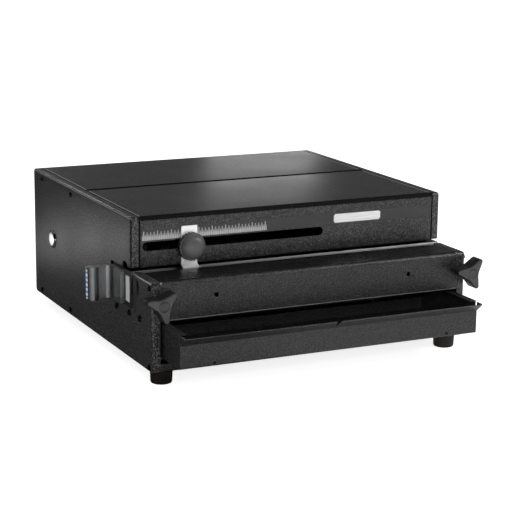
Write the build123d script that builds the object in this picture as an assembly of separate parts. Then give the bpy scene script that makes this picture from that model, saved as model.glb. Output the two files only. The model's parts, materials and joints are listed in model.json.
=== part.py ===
from build123d import *
import math
import os

# Electric binding punch for a print shop counter.
# X runs to the right, Y runs from the front to the back, Z runs up.
# Every piece is drawn from one datum: mid width, the front of the upper housing, and the floor.
# At the end all pieces move together, so that the origin is at the middle of the footprint.

# Overall sizes in millimetres
machine_width = 457.0
upper_depth = 394.0
upper_height = 69.2
table_reach = 70.0
shelf_height = 134.1
foot_height = 17.3

# Sheet metal of the housing
sheet = 1.5
flange_width = 12.0
bend_radius = 3.5
cover_gap = 0.3
side_flange = 16.0
seam_bend = 2.0
top_bend = 4.0
table_bend = 5.0
cut_over = 5.0

# Side panel corners and its opening for the die set
panel_rear_corner = 6.0
panel_top_corner = 3.0
panel_front_corner = 4.0
panel_foot_corner = 2.0
opening_spare = 11.0
opening_gap = 0.3
arch_front = 12.2
arch_length = 16.8
arch_rise = 8.8
arch_radius = 5.8
underside_gap = 3.9
notch_depth = 7.1
notch_rise = 22.0
notch_length = 19.0
notch_chamfer = 3.4

# Die set that slides out to the left on its handle
bed_drop = 48.1
die_slide_gap = 0.05
die_plate_front = -20.0
die_plate_drop = 2.4
throat_front = -8.3
throat_narrow_front = -7.2
throat_rear = -1.0
throat_rise = 18.5
throat_lead = 2.0
guide_block_rear = 20.0
guide_block_drop = 0.7
die_base_thickness = 6.0
die_base_back = 15.0
left_end_overhang = 1.0
right_end_gap = 1.0
die_end_thickness = 8.0
inch = 25.4
pins_per_inch = 3
pin_count = 35
pin_size = 4.0
pin_clearance = 0.05
pin_withdrawn = 1.5
pin_seat = 8.0
chip_relief = 1.2
chip_relief_depth = 7.0

# Pin retainer and its tee rail
retainer_gap = 1.0
retainer_depth = 12.0
retainer_height = 28.0
retainer_end_gap = 16.5
tee_neck = 8.0
tee_neck_depth = 5.0
tee_head = 18.0
tee_head_depth = 5.0
tee_gap = 0.3

# Ram that pushes the retainer, worked by two eccentrics
ram_depth = 30.7
ram_height = 32.0
ram_end_gap = 14.5
tongue_gap = 4.0
tongue_width = 16.0
tongue_back = 8.0
tongue_height = 16.0
slide_fit = 0.05
crank_back = 48.0
crank_rise = 24.0
crank_radius = 8.0
throw = 6.0
eccentric_radius = 16.0
eccentric_width = 14.0
roller_radius = 22.0
roller_width = 12.0
bore_fit = 0.02
running_fit = 0.05
yoke_inset = 22.0
yoke_width = 12.0
yoke_lost_motion = 1.6
yoke_wall = 8.0
yoke_corner = 4.0

# Bearing plates, ram guides and timing parts
bearing_plate_inset = 56.5
bearing_plate_width = 8.0
bearing_plate_fore = 40.0
bearing_plate_aft = 26.0
bearing_plate_rise = 40.0
bearing_foot_width = 18.0
bearing_foot_height = 5.0
bearing_outer_radius = 15.0
bearing_corner = 10.0
guide_wall = 4.0
cam_inset = 11.0
cam_width = 6.0
cam_radius = 20.0
cam_notch_radius = 5.0
switch_length = 24.0
switch_height = 15.0
switch_button_radius = 1.5
switch_travel_gap = 0.3
switch_lift = 4.0

# Gear drive
gear_module = 1.5
gear_teeth = 60
pinion_teeth = 12
pressure_angle = 20.0
tooth_backlash = 0.16
gear_inset = 32.0
gear_width = 14.0
gear_web_recess = 4.0
gear_rim = 6.0
gear_hub_radius = 15.0
gear_hole_radius = 8.0
gear_hole_count = 5
mesh_angle = -30.0
pinion_overlap = 1.0
pinion_shaft_radius = 6.0
pinion_shaft_length = 22.0
bracket_width = 4.0
bracket_gap = 2.0
bracket_half_depth = 37.0
bracket_front_reach = 36.0
bracket_top_reach = 39.0
bracket_foot_length = 50.0
gearbox_length = 52.0
gearbox_half = 35.0
gearbox_corner = 6.0
motor_radius = 35.0
motor_yoke_gap = 58.0
motor_cap_length = 16.0
motor_cap_radius = 30.0
motor_slot_width = 4.0
motor_slot_count = 12

# Bed bars between the side panels
rear_bed_inset = 2.0
rear_bed_overhang = 2.0
front_bed_gap = 5.0
front_bed_width = 12.0
bed_depth = 14.0
bed_notch_side_gap = 2.6
bed_notch_flange_gap = 1.9
bed_notch_headroom = 1.5

# Front table
table_rear_gap = 7.2
table_drop = 51.1
table_return = 8.0
table_flange_gap = 8.0
table_hole_radius = 3.25
table_hole_inset = 88.5
table_hole_drop = 23.1

# Front cover, rear top cover and rear panel
seam_y = 199.0
seam_gap = 3.0
seam_lip = 10.0
cover_throat = 2.4
cover_return = 8.0
slot_inset = 16.2
slot_length = 259.1
slot_rise = 21.7
slot_height = 11.6
rear_lip = 12.0
rear_flange = 8.0

# Ruler strip and blank badge plate on the front cover
strip_left_inset = 15.5
strip_right_inset = 14.5
strip_slot_gap = 2.2
strip_height = 15.0
strip_thickness = 0.3
badge_inset = 79.0
badge_length = 73.4
badge_height = 14.0
badge_thickness = 0.8
badge_notch = 2.6

# Base pan
base_inset = 1.0
base_front_height = 10.7
base_side_height = 15.0

# Feet
front_foot_side = 19.5
front_foot_back = 16.0
rear_foot_side = 43.5
rear_foot_inset = 24.0
foot_radius = 16.0
foot_draft = 1.2
foot_edge = 2.5
foot_rim = 0.75
foot_recess_radius = 6.5
foot_recess_depth = 9.0
foot_screw_head = 5.0
foot_screw_head_height = 3.0
foot_screw_radius = 2.0
foot_screw_length = 16.0

# Screws of the housing, each placed from the edges near it
screw_head_radius = 4.2
screw_head_height = 2.2
screw_shank_radius = 2.0
screw_shank_length = 14.0
screw_hole_gap = 0.2
cover_screw_back = 29.6
cover_screw_drop = 10.3
rear_screw_inset = 40.0
rear_screw_drop = 9.8
front_screw_back = 7.0
front_screw_rise = 7.0
middle_screw_back = 36.3
base_rear_screw_inset = 32.4
base_screw_rise = 9.3
table_screw_back = 6.0
table_screw_drop = 8.1
bed_screw_radius = 3.0
bed_screw_head_radius = 5.0
bed_screw_head_height = 2.8
bed_screw_length = 11.5
bed_front_screw_drop = 6.4
bed_middle_screw_back = 23.0
bed_middle_screw_drop = 7.0
bed_rear_screw_inset = 12.5
bed_rear_screw_drop = 9.0

# Chrome hole plug
plug_inset = 84.0
plug_drop = 89.3
plug_radius = 15.0
plug_hole_radius = 12.7
plug_crown = 2.6
plug_skirt = 7.0
plug_wall = 1.0

# Clamp knobs at both ends of the front
knob_inset = 5.5
knob_gap = 6.0
clamp_screw_radius = 3.0
clamp_hole_gap = 0.4
clamp_tip_gap = 0.3
bush_width = 10.0
bush_height = 15.0
bush_depth = 12.0
knob_depth = 20.0
knob_reach = 23.0
knob_arm_radius = 6.5
knob_hub_radius = 11.5
knob_waist_radius = 5.0
knob_edge = 1.8
knob_cap_radius = 7.0
knob_cap_recess = 1.0
knob_boss_radius = 8.0
knob_boss_length = 3.0
knob_screw_seat = 14.0
knob_arms = 3
left_arm_angle = 42.0
right_arm_angle = 52.0

# Chip drawer, shown partly pulled out
drawer_pull = 56.0
drawer_length = 140.0
drawer_inset = 15.1
drawer_rise = 18.7
drawer_headroom = 6.0
drawer_sheet = 1.2
drawer_flare_drop = 13.0
lip_flare = 12.2
lip_drop = 2.4
drawer_wall_back = 3.2
drawer_wall_length = 82.8
drawer_flange = 9.5
drawer_rear_height = 16.0
drawer_bend = 2.0
gusset_fore = 1.0
gusset_drop = 1.0
lip_notch = 7.5
drawer_hole_radius = 2.0
drawer_hole_inset = 45.9
drawer_hole_rise = 4.3

# Drawer runners
runner_gap = 0.3
runner_width = 22.0
runner_thickness = 2.0
runner_drop = 6.0
runner_rear = 150.0
runner_front_radius = 8.0

# Sliding edge guide and its knob
guide_slot_offset = 52.6
guide_width = 22.1
guide_overtop = 0.6
guide_plate = 2.0
guide_back_gap = 1.0
guide_foot_rise = 0.9
guide_foot_reach = 7.0
guide_foot_drop = 4.2
guide_corner = 2.2
guide_knob_offset = 12.3
guide_knob_rise = 2.8
guide_knob_radius = 18.5
guide_dome_radius = 16.4
guide_knob_rim = 8.0
guide_knob_dome = 9.0
guide_knob_ridges = 24
guide_ridge_radius = 0.9
guide_screw_radius = 2.5
guide_screw_length = 16.0
guide_nut_radius = 5.5
guide_nut_depth = 4.0

# Die handle
handle_rise = 1.0
handle_drop = 2.9
handle_flange = 6.0
handle_front_gap = 2.4
handle_web = 5.0
handle_overhang = 1.0
handle_root_radius = 7.0
bulb_radius = 8.5
bulb_reach = 31.0
bulb_inset = 4.5
handle_groove = 1.2
handle_groove_depth = 0.8

# Electrical parts at the back
inlet_inset = 78.5
rocker_spacing = 42.0
jack_spacing = 36.0
socket_rise = 42.7
inlet_width = 27.0
inlet_height = 20.0
inlet_depth = 22.0
inlet_flange = 2.6
inlet_rim = 3.5
inlet_recess = 15.0
inlet_wall = 2.0
inlet_corner = 4.0
inlet_pin_length = 9.5
inlet_pin_wide = 4.0
inlet_pin_thin = 2.0
inlet_pin_spread = 7.0
inlet_pin_lift = 2.5
switch_width = 21.0
switch_tall = 28.0
switch_deep = 20.0
switch_bezel = 2.0
switch_rim = 2.5
rocker_gap = 0.4
rocker_pivot_depth = 7.0
rocker_pin_radius = 1.5
rocker_tilt = 10.0
rocker_crown_radius = 30.0
jack_radius = 4.5
jack_nut_radius = 7.0
jack_nut_depth = 2.6
jack_bore_radius = 3.2
jack_bore_depth = 16.0
jack_body = 12.0
jack_body_depth = 20.0
board_side_inset = 23.5
board_rear_inset = 104.0
board_width = 100.0
board_depth = 80.0
board_thickness = 1.6
board_lift = 8.0
post_radius = 3.0
post_inset = 6.0
relay_width = 28.0
relay_depth = 20.0
relay_height = 24.0
capacitor_radius = 10.0
capacitor_height = 30.0

# Shares of the sizes that they follow
head_round_share = 0.6
dome_round_share = 0.8

# Housing, worked out from the sizes above
machine_height = shelf_height + upper_height
half_width = machine_width / 2
half_sheet = sheet / 2
panel_inner = half_width - sheet
cover_edge = half_width - flange_width - cover_gap
base_top = foot_height + sheet
cover_bottom = shelf_height + cover_throat
underside_height = shelf_height + underside_gap

# Die set and bed
bed_height = shelf_height - bed_drop
die_bottom = bed_height + die_slide_gap
die_plate_top = shelf_height - die_plate_drop
throat_floor = bed_height + throat_rise
guide_block_top = shelf_height - guide_block_drop
die_base_top = bed_height + die_base_thickness
pin_pitch = inch / pins_per_inch
stroke = 2 * throw
retainer_front = guide_block_rear + stroke + retainer_gap
retainer_rear = retainer_front + retainer_depth
retainer_length = 2 * (half_width - retainer_end_gap)
die_base_rear = retainer_rear + die_base_back
left_end_rear = die_base_rear + left_end_overhang
right_end_rear = retainer_front - right_end_gap
rear_bed_front = die_plate_front + rear_bed_inset
rear_bed_rear = die_base_rear + rear_bed_overhang
front_bed_rear = die_plate_front - front_bed_gap
front_bed_front = front_bed_rear - front_bed_width

# Ram, crank and bearing plates
crank_z = bed_height + crank_rise
clamp_z = crank_z
retainer_low = crank_z - retainer_height / 2
retainer_high = crank_z + retainer_height / 2
ram_rear = retainer_rear + tee_gap + ram_depth
ram_low = crank_z - ram_height / 2
ram_high = crank_z + ram_height / 2
ram_length = 2 * (half_width - ram_end_gap)
crank_y = ram_rear + crank_back
tongue_rear = crank_y + tongue_back
bearing_plate_inner = half_width - bearing_plate_inset
bearing_plate_front = crank_y - bearing_plate_fore
bearing_plate_rear = crank_y + bearing_plate_aft
bearing_plate_top = crank_z + bearing_plate_rise
tongue_inner = bearing_plate_inner + bearing_plate_width + tongue_gap
yoke_x = bearing_plate_inner - yoke_inset
cam_x = bearing_plate_inner - cam_inset

# Gears and motor
gear_x = yoke_x - gear_inset
gear_pitch_radius = gear_module * gear_teeth / 2
pinion_pitch_radius = gear_module * pinion_teeth / 2
centre_distance = gear_pitch_radius + pinion_pitch_radius
pinion_y = crank_y + centre_distance * math.cos(math.radians(mesh_angle))
pinion_z = crank_z + centre_distance * math.sin(math.radians(mesh_angle))
bracket_right = gear_x - bracket_gap
bracket_left = bracket_right - bracket_width
motor_right = bracket_left - gearbox_length
motor_left = yoke_width / 2 - yoke_x + motor_yoke_gap + motor_cap_length

# Side panel opening
opening_rear = left_end_rear + opening_spare
opening_top = guide_block_top + 2 * opening_gap
arch_rear = arch_front + arch_length
arch_top = opening_top + arch_rise
notch_low = bed_height + notch_rise
notch_high = notch_low + notch_length

# Front table, slot, strip and badge
table_rear = throat_front - table_rear_gap
table_bottom = shelf_height - table_drop
table_flange_rear = die_plate_front - table_flange_gap
table_hole_x = half_width - table_hole_inset
table_hole_z = shelf_height - table_hole_drop
slot_left = slot_inset - half_width
slot_right = slot_left + slot_length
slot_low = cover_bottom + slot_rise
slot_high = slot_low + slot_height
strip_left = strip_left_inset - half_width
strip_right = half_width - strip_right_inset
strip_low = slot_high + strip_slot_gap
strip_high = strip_low + strip_height
badge_right = strip_right - badge_inset
badge_left = badge_right - badge_length

# Edge guide, plug and handle
guide_left = slot_left + guide_slot_offset
guide_right = guide_left + guide_width
guide_top = strip_high + guide_overtop
guide_foot_z = cover_bottom + guide_foot_rise
guide_knob_x = guide_left + guide_knob_offset
guide_knob_z = slot_low + guide_knob_rise
plug_y = upper_depth - plug_inset
plug_z = machine_height - plug_drop
handle_low = bed_height + handle_rise
handle_high = guide_block_top - handle_drop
handle_front = guide_block_rear + handle_front_gap
handle_web_rear = left_end_rear + handle_overhang
handle_web_front = handle_web_rear - handle_web
bulb_x = -half_width - bulb_reach
bulb_y = handle_web_rear - bulb_inset

# Clamp knobs and chip drawer
knob_x = half_width - knob_inset
knob_front = -table_reach - knob_gap - knob_boss_length - knob_depth
drawer_front = -table_reach - drawer_pull
drawer_rear = drawer_front + drawer_length
drawer_half = half_width - drawer_inset
drawer_bottom = foot_height + drawer_rise
drawer_wall_top = bed_height - drawer_headroom
drawer_bend_z = drawer_wall_top - drawer_flare_drop
drawer_wall_front = drawer_front + drawer_wall_back
drawer_wall_knee = drawer_wall_front + drawer_wall_length
drawer_rear_top = drawer_bottom + drawer_rear_height
lip_rim_y = drawer_front - lip_flare
lip_rim_z = drawer_wall_top - lip_drop
gusset_rear = drawer_front - gusset_fore
gusset_top = drawer_wall_top - gusset_drop
drawer_hole_x = drawer_half - drawer_hole_inset
drawer_hole_z = drawer_bottom + drawer_hole_rise
runner_inner = panel_inner - runner_width
bed_notch_outer = drawer_half + bed_notch_side_gap
bed_notch_inner = drawer_half - drawer_flange - bed_notch_flange_gap
bed_notch_top = drawer_wall_top + bed_notch_headroom

# Sockets at the back and the control board
inlet_x = inlet_inset - half_width
rocker_x = inlet_x + rocker_spacing
jack_x = rocker_x + jack_spacing
socket_z = foot_height + socket_rise
board_x = board_side_inset + board_width / 2 - half_width
board_y = upper_depth - board_rear_inset

# Screws of the housing, given by how far back and how high they stand
cover_screws = [
    (seam_y + cover_screw_back, machine_height - cover_screw_drop),
    (upper_depth - rear_screw_inset, machine_height - rear_screw_drop),
]
base_screws = [
    (front_screw_back - table_reach, foot_height + front_screw_rise),
    (seam_y + middle_screw_back, foot_height + base_screw_rise),
    (upper_depth - base_rear_screw_inset, foot_height + base_screw_rise),
]
table_screws = [(table_screw_back - table_reach, shelf_height - table_screw_drop)]
bed_screws = [
    ((front_bed_front + front_bed_rear) / 2, bed_height - bed_front_screw_drop),
    (rear_bed_front + bed_middle_screw_back, bed_height - bed_middle_screw_drop),
    (rear_bed_rear - bed_rear_screw_inset, bed_height - bed_rear_screw_drop),
]


def block(x0, x1, y0, y1, z0, z1):
    """A block between two corners."""
    middle = Pos((x0 + x1) / 2, (y0 + y1) / 2, (z0 + z1) / 2)
    return middle * Box(abs(x1 - x0), abs(y1 - y0), abs(z1 - z0))


def along_x(profile, x0, x1):
    """A side profile, drawn in Y and Z, run from one X to another."""
    return extrude(Plane.YZ.offset(min(x0, x1)) * profile, amount=abs(x1 - x0))


def along_y(profile, y0, y1):
    """A front profile, drawn in X and Z, run from one Y to another."""
    return extrude(Plane.XZ.offset(-max(y0, y1)) * profile, amount=abs(y1 - y0))


def along_z(profile, z0, z1):
    """A plan profile, drawn in X and Y, run from one Z to another."""
    return extrude(Plane.XY.offset(z0) * profile, amount=z1 - z0)


def rod_x(radius, x0, x1, y, z):
    """A round bar along X."""
    return along_x(Pos(y, z) * Circle(radius), x0, x1)


def rod_y(radius, y0, y1, x, z):
    """A round bar along Y."""
    return along_y(Pos(x, z) * Circle(radius), y0, y1)


def rod_z(radius, z0, z1, x, y):
    """A round bar along Z."""
    return along_z(Pos(x, y) * Circle(radius), z0, z1)


def outline(*points):
    """A flat face inside a closed run of straight lines."""
    return make_face(Polyline(*points, close=True))


def bent_strip(points, radii, thickness):
    """The edge view of a bent sheet, from the points of its middle line."""
    return trace(FilletPolyline(*points, radius=radii), line_width=thickness)


def pair(maker):
    """The left and the right copy of what maker draws for a side of -1 or 1."""
    return [maker(-1), maker(1)]


def panel_opening():
    """The way through a side panel for the die set, its arch, its notch and the paper throat."""
    front = die_plate_front - opening_gap
    floor = bed_height - opening_gap
    roof = die_plate_top + opening_gap
    deep = front - notch_depth
    hole = outline(
        (throat_front, roof),
        (front, roof),
        (front, notch_high),
        (deep + notch_chamfer, notch_high),
        (deep, notch_high - notch_chamfer),
        (deep, notch_low + notch_chamfer),
        (deep + notch_chamfer, notch_low),
        (front, notch_low),
        (front, floor),
        (opening_rear, floor),
        (opening_rear, opening_top),
        (arch_rear, opening_top),
        (arch_rear, underside_height),
        (throat_front, underside_height),
    )
    arch = outline(
        (arch_front, underside_height - cut_over),
        (arch_rear, underside_height - cut_over),
        (arch_rear, arch_top),
        (arch_front, arch_top),
    )
    arch = fillet(arch.vertices().group_by(Axis.Y)[-1], arch_radius)
    return hole + arch


def side_panel(side):
    """One side of the housing: a flanged pan with the opening that the die set slides through."""
    shape = FilletPolyline(
        (-table_reach, foot_height),
        (upper_depth, foot_height),
        (upper_depth, machine_height),
        (0, machine_height),
        (0, shelf_height),
        (-table_reach, shelf_height),
        radius=[
            panel_foot_corner,
            panel_rear_corner,
            panel_top_corner,
            panel_front_corner,
            half_sheet,
            table_bend,
        ],
        close=True,
    )
    face = make_face(shape)
    outer = along_x(face, -half_width, flange_width - half_width)
    outer = fillet(outer.faces().sort_by(Axis.X)[0].edges(), bend_radius)
    inner = along_x(offset(face, amount=-sheet), -panel_inner, flange_width - panel_inner)
    inner = fillet(inner.faces().sort_by(Axis.X)[0].edges(), bend_radius - sheet)
    pan = outer - inner
    pan -= along_x(panel_opening(), -half_width - cut_over, flange_width - panel_inner)
    outside = -half_width - cut_over
    inside = -panel_inner + cut_over
    for y, z in cover_screws + base_screws + table_screws:
        pan -= rod_x(screw_shank_radius + screw_hole_gap, outside, inside, y, z)
    for y, z in bed_screws:
        pan -= rod_x(bed_screw_radius + screw_hole_gap, outside, inside, y, z)
    stud_hole = clamp_screw_radius + clamp_hole_gap
    pan -= rod_y(stud_hole, -table_reach - cut_over, -table_reach + cut_over, -knob_x, clamp_z)
    if side < 0:
        pan -= rod_x(plug_hole_radius + screw_hole_gap, outside, inside, plug_y, plug_z)
        return pan
    return mirror(pan, about=Plane.YZ)


def hole_plug():
    """The domed plug that closes the round hole in the left panel."""
    crown_edge = -half_width - plug_wall
    profile = outline(
        (-half_width, 0),
        (-half_width, plug_radius),
        (crown_edge, plug_radius),
        (-half_width - plug_crown, plug_radius - plug_crown),
        (-half_width - plug_crown, 0),
    )
    dome = revolve(Plane.XY * profile, Axis.X)
    skirt = rod_x(plug_hole_radius, -half_width, plug_skirt - half_width, 0, 0)
    skirt -= rod_x(plug_hole_radius - plug_wall, -half_width, plug_skirt + cut_over - half_width, 0, 0)
    slit_end = plug_skirt - half_width
    slit = block(sheet - half_width, slit_end, -plug_radius, plug_radius, -plug_wall, plug_wall)
    return Pos(0, plug_y, plug_z) * (dome + (skirt - slit))


def front_cover():
    """One bent sheet: the front half of the top and the front panel with its long slot."""
    rear = seam_y - seam_gap / 2
    line = bent_strip(
        [
            (rear - half_sheet, machine_height - seam_lip),
            (rear - half_sheet, machine_height - half_sheet),
            (half_sheet, machine_height - half_sheet),
            (half_sheet, cover_bottom + half_sheet),
            (cover_return, cover_bottom + half_sheet),
        ],
        [seam_bend, top_bend, seam_bend],
        sheet,
    )
    cover = along_x(line, -cover_edge, cover_edge)
    band = outline(
        (rear - sheet, machine_height - half_sheet),
        (top_bend, machine_height - half_sheet),
        (half_sheet, machine_height - top_bend),
        (half_sheet, cover_bottom + sheet),
        (side_flange, cover_bottom + sheet),
        (side_flange, machine_height - side_flange),
        (rear - sheet, machine_height - side_flange),
    )
    cover += along_x(band, -cover_edge, sheet - cover_edge)
    cover += along_x(band, cover_edge - sheet, cover_edge)
    slot_middle = Pos((slot_left + slot_right) / 2, (slot_low + slot_high) / 2)
    slot = slot_middle * SlotOverall(slot_right - slot_left, slot_high - slot_low)
    cover -= along_y(slot, -cut_over, sheet + half_sheet)
    for y, z in cover_screws:
        cover -= rod_x(screw_shank_radius, -half_width, half_width, y, z)
    return cover


def rear_top_cover():
    """The rear half of the top, bent down at the seam and at the back."""
    front = seam_y + seam_gap / 2
    line = bent_strip(
        [
            (front + half_sheet, machine_height - seam_lip),
            (front + half_sheet, machine_height - half_sheet),
            (upper_depth - half_sheet, machine_height - half_sheet),
            (upper_depth - half_sheet, machine_height - rear_lip),
        ],
        [seam_bend, seam_bend],
        sheet,
    )
    cover = along_x(line, -cover_edge, cover_edge)
    band = outline(
        (front + sheet, machine_height - half_sheet),
        (upper_depth - sheet, machine_height - half_sheet),
        (upper_depth - sheet, machine_height - rear_lip),
        (upper_depth - rear_flange - cover_gap, machine_height - rear_lip),
        (upper_depth - rear_flange - cover_gap, machine_height - side_flange),
        (front + sheet, machine_height - side_flange),
    )
    cover += along_x(band, -cover_edge, sheet - cover_edge)
    cover += along_x(band, cover_edge - sheet, cover_edge)
    for y, z in cover_screws:
        cover -= rod_x(screw_shank_radius, -half_width, half_width, y, z)
    return cover


def rear_panel():
    """The back of the housing, a shallow pan with cut-outs for the inlet, the switch and the jack."""
    top = machine_height - rear_lip - cover_gap
    outer = block(-cover_edge, cover_edge, upper_depth - rear_flange, upper_depth, base_top, top)
    outer = fillet(outer.faces().sort_by(Axis.Y)[-1].edges(), seam_bend)
    inner = block(
        sheet - cover_edge,
        cover_edge - sheet,
        upper_depth - rear_flange - cut_over,
        upper_depth - sheet,
        base_top + sheet,
        top - sheet,
    )
    panel = outer - inner
    inlet_hole = Pos(inlet_x, socket_z) * Rectangle(inlet_width + running_fit, inlet_height + running_fit)
    switch_hole = Pos(rocker_x, socket_z) * Rectangle(switch_width + running_fit, switch_tall + running_fit)
    panel -= along_y(inlet_hole, upper_depth - sheet - cut_over, upper_depth + cut_over)
    panel -= along_y(switch_hole, upper_depth - sheet - cut_over, upper_depth + cut_over)
    jack_hole = jack_radius + running_fit
    panel -= rod_y(jack_hole, upper_depth - sheet - cut_over, upper_depth + cut_over, jack_x, socket_z)
    return panel


def base_pan():
    """The floor of the housing, turned up at the front and at both sides."""
    front = base_inset - table_reach
    line = bent_strip(
        [
            (front + half_sheet, foot_height + base_front_height),
            (front + half_sheet, foot_height + half_sheet),
            (upper_depth - half_sheet, foot_height + half_sheet),
        ],
        [seam_bend],
        sheet,
    )
    pan = along_x(line, -cover_edge, cover_edge)
    rear = upper_depth - rear_flange
    side_y = front + seam_bend + sheet
    for side in (-1, 1):
        side_x = side * (cover_edge - half_sheet)
        high = foot_height + base_side_height
        pan += block(side_x - half_sheet, side_x + half_sheet, side_y, rear, base_top, high)
        for y, z in base_screws:
            pan -= rod_x(screw_shank_radius, side_x - sheet, side_x + sheet, y, z)
    for x, y in foot_places().values():
        pan -= rod_z(foot_screw_radius + screw_hole_gap, 0, base_top + cut_over, x, y)
    return pan


def front_table():
    """The paper shelf and the front face below it, one bent sheet."""
    line = bent_strip(
        [
            (table_rear, shelf_height - half_sheet),
            (half_sheet - table_reach, shelf_height - half_sheet),
            (half_sheet - table_reach, table_bottom + half_sheet),
            (table_return - table_reach, table_bottom + half_sheet),
        ],
        [table_bend, seam_bend],
        sheet,
    )
    table = along_x(line, -cover_edge, cover_edge)
    strip = side_flange - table_reach
    band = outline(
        (table_flange_rear, shelf_height - half_sheet),
        (table_bend - table_reach, shelf_height - half_sheet),
        (half_sheet - table_reach, shelf_height - table_bend),
        (half_sheet - table_reach, table_bottom + sheet),
        (strip, table_bottom + sheet),
        (strip, shelf_height - side_flange),
        (table_flange_rear, shelf_height - side_flange),
    )
    table += along_x(band, -cover_edge, sheet - cover_edge)
    table += along_x(band, cover_edge - sheet, cover_edge)
    for side in (-1, 1):
        x = side * table_hole_x
        rear = sheet + half_sheet - table_reach
        table -= rod_y(table_hole_radius, -table_reach - cut_over, rear, x, table_hole_z)
    for y, z in table_screws:
        table -= rod_x(screw_shank_radius, -half_width, half_width, y, z)
    return table


def ruler_strip():
    """The thin dark strip along the front cover that carries the rulers."""
    return block(strip_left, strip_right, -strip_thickness, 0, strip_low, strip_high)


def badge_plate():
    """The blank plate on the strip, with its corners cut in."""
    middle_x = (badge_left + badge_right) / 2
    middle_z = (strip_low + strip_high) / 2
    plate = Rectangle(badge_right - badge_left, badge_height)
    for corner in plate.vertices():
        plate -= Pos(corner.X, corner.Y) * Rectangle(2 * badge_notch, 2 * badge_notch)
    return along_y(Pos(middle_x, middle_z) * plate, -strip_thickness - badge_thickness, -strip_thickness)


def foot_places():
    """The middle of each foot, by name."""
    front_x = half_width - front_foot_side
    front_y = front_foot_back - table_reach
    rear_x = half_width - rear_foot_side
    rear_y = upper_depth - rear_foot_inset
    return {
        "foot_front_left": (-front_x, front_y),
        "foot_front_right": (front_x, front_y),
        "foot_rear_left": (-rear_x, rear_y),
        "foot_rear_right": (rear_x, rear_y),
    }


def foot(x, y):
    """A tapered rubber foot with a rounded lower edge and a recess for its screw."""
    low = foot_radius - foot_draft
    profile = FilletPolyline(
        (0, 0),
        (low, 0),
        (foot_radius, foot_height),
        (0, foot_height),
        radius=[foot_edge, foot_rim],
    )
    face = make_face(profile + Line((0, foot_height), (0, 0)))
    body = revolve(Plane.XZ * face, Axis.Z)
    body -= rod_z(foot_recess_radius, 0, foot_recess_depth, 0, 0)
    body -= rod_z(foot_screw_radius + screw_hole_gap, 0, foot_height + cut_over, 0, 0)
    return Pos(x, y, 0) * body


def foot_screws():
    """The four screws that hold the feet."""
    screws = []
    for x, y in foot_places().values():
        head = rod_z(foot_screw_head, foot_recess_depth - foot_screw_head_height, foot_recess_depth, x, y)
        shank = rod_z(foot_screw_radius, foot_recess_depth, foot_recess_depth + foot_screw_length, x, y)
        screws.append(head + shank)
    return screws


def side_screws(places, radius, length, head_radius, head_height):
    """Domed screws through both side panels at the same places."""
    screws = []
    for y, z in places:
        head = rod_x(head_radius, half_width, half_width + head_height, y, z)
        head = fillet(head.faces().sort_by(Axis.X)[-1].edges(), head_height * head_round_share)
        screw = head + rod_x(radius, half_width - length, half_width, y, z)
        screws.append(mirror(screw, about=Plane.YZ))
        screws.append(screw)
    return screws


def panel_screws():
    """The screws that join both side panels to the covers, the table and the base pan."""
    places = cover_screws + base_screws + table_screws
    return side_screws(
        places, screw_shank_radius, screw_shank_length, screw_head_radius, screw_head_height
    )


def bed_bar_screws():
    """The heavier screws that hold the bed bars between the side panels."""
    return side_screws(
        bed_screws, bed_screw_radius, bed_screw_length, bed_screw_head_radius, bed_screw_head_height
    )


def bed_bar(front, rear):
    """A steel bar between the side panels, notched over the end walls of the chip drawer."""
    bar = block(-panel_inner, panel_inner, front, rear, bed_height - bed_depth, bed_height)
    for side in (-1, 1):
        bar -= block(
            side * bed_notch_inner,
            side * bed_notch_outer,
            front,
            rear,
            bed_height - bed_depth,
            bed_notch_top,
        )
        for y, z in bed_screws:
            tip = side * (half_width - bed_screw_length)
            bar -= rod_x(bed_screw_radius, tip, side * panel_inner, y, z)
    return bar


def clamp_bush(side):
    """The threaded block welded behind the front flange of a side panel."""
    middle = side * knob_x
    half = bush_width / 2
    low = clamp_z - bush_height / 2
    front = bend_radius - table_reach
    outer = side * panel_inner
    inner = middle - side * half
    bush = block(min(outer, inner), max(outer, inner), front, front + bush_depth, low, low + bush_height)
    return bush - rod_y(clamp_screw_radius + running_fit, front, front + bush_depth, middle, clamp_z)


def bearing_plate(side):
    """The upright plate that carries one end of the crankshaft, with a foot on the base pan."""
    outer = bearing_plate_inner + bearing_plate_width
    face = outline(
        (bearing_plate_front, base_top),
        (bearing_plate_rear, base_top),
        (bearing_plate_rear, bearing_plate_top),
        (bearing_plate_front, bearing_plate_top),
    )
    face = fillet(face.vertices().group_by(Axis.Y)[-1], bearing_corner)
    face -= Pos(crank_y, crank_z) * Circle(bearing_outer_radius + bore_fit)
    plate = along_x(face, bearing_plate_inner, outer)
    plate += block(
        outer,
        outer + bearing_foot_width,
        bearing_plate_front,
        bearing_plate_rear,
        base_top,
        base_top + bearing_foot_height,
    )
    if side < 0:
        return mirror(plate, about=Plane.YZ)
    return plate


def crank_bearing(side):
    """The plain bearing in one bearing plate."""
    outer = bearing_plate_inner + bearing_plate_width
    ring = Circle(bearing_outer_radius) - Circle(crank_radius + running_fit)
    return along_x(Pos(crank_y, crank_z) * ring, side * bearing_plate_inner, side * outer)


def ram_guide(side):
    """The closed guide on a bearing plate in which a tongue of the ram slides."""
    low = crank_z - tongue_height / 2
    high = crank_z + tongue_height / 2
    inner = bearing_plate_inner + bearing_plate_width
    outer = tongue_inner + tongue_width + guide_wall
    front = bearing_plate_front
    guide = block(side * inner, side * outer, front, crank_y, low - guide_wall, high + guide_wall)
    return guide - block(
        side * (tongue_inner - slide_fit),
        side * (tongue_inner + tongue_width + slide_fit),
        front,
        crank_y,
        low - slide_fit,
        high + slide_fit,
    )


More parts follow.
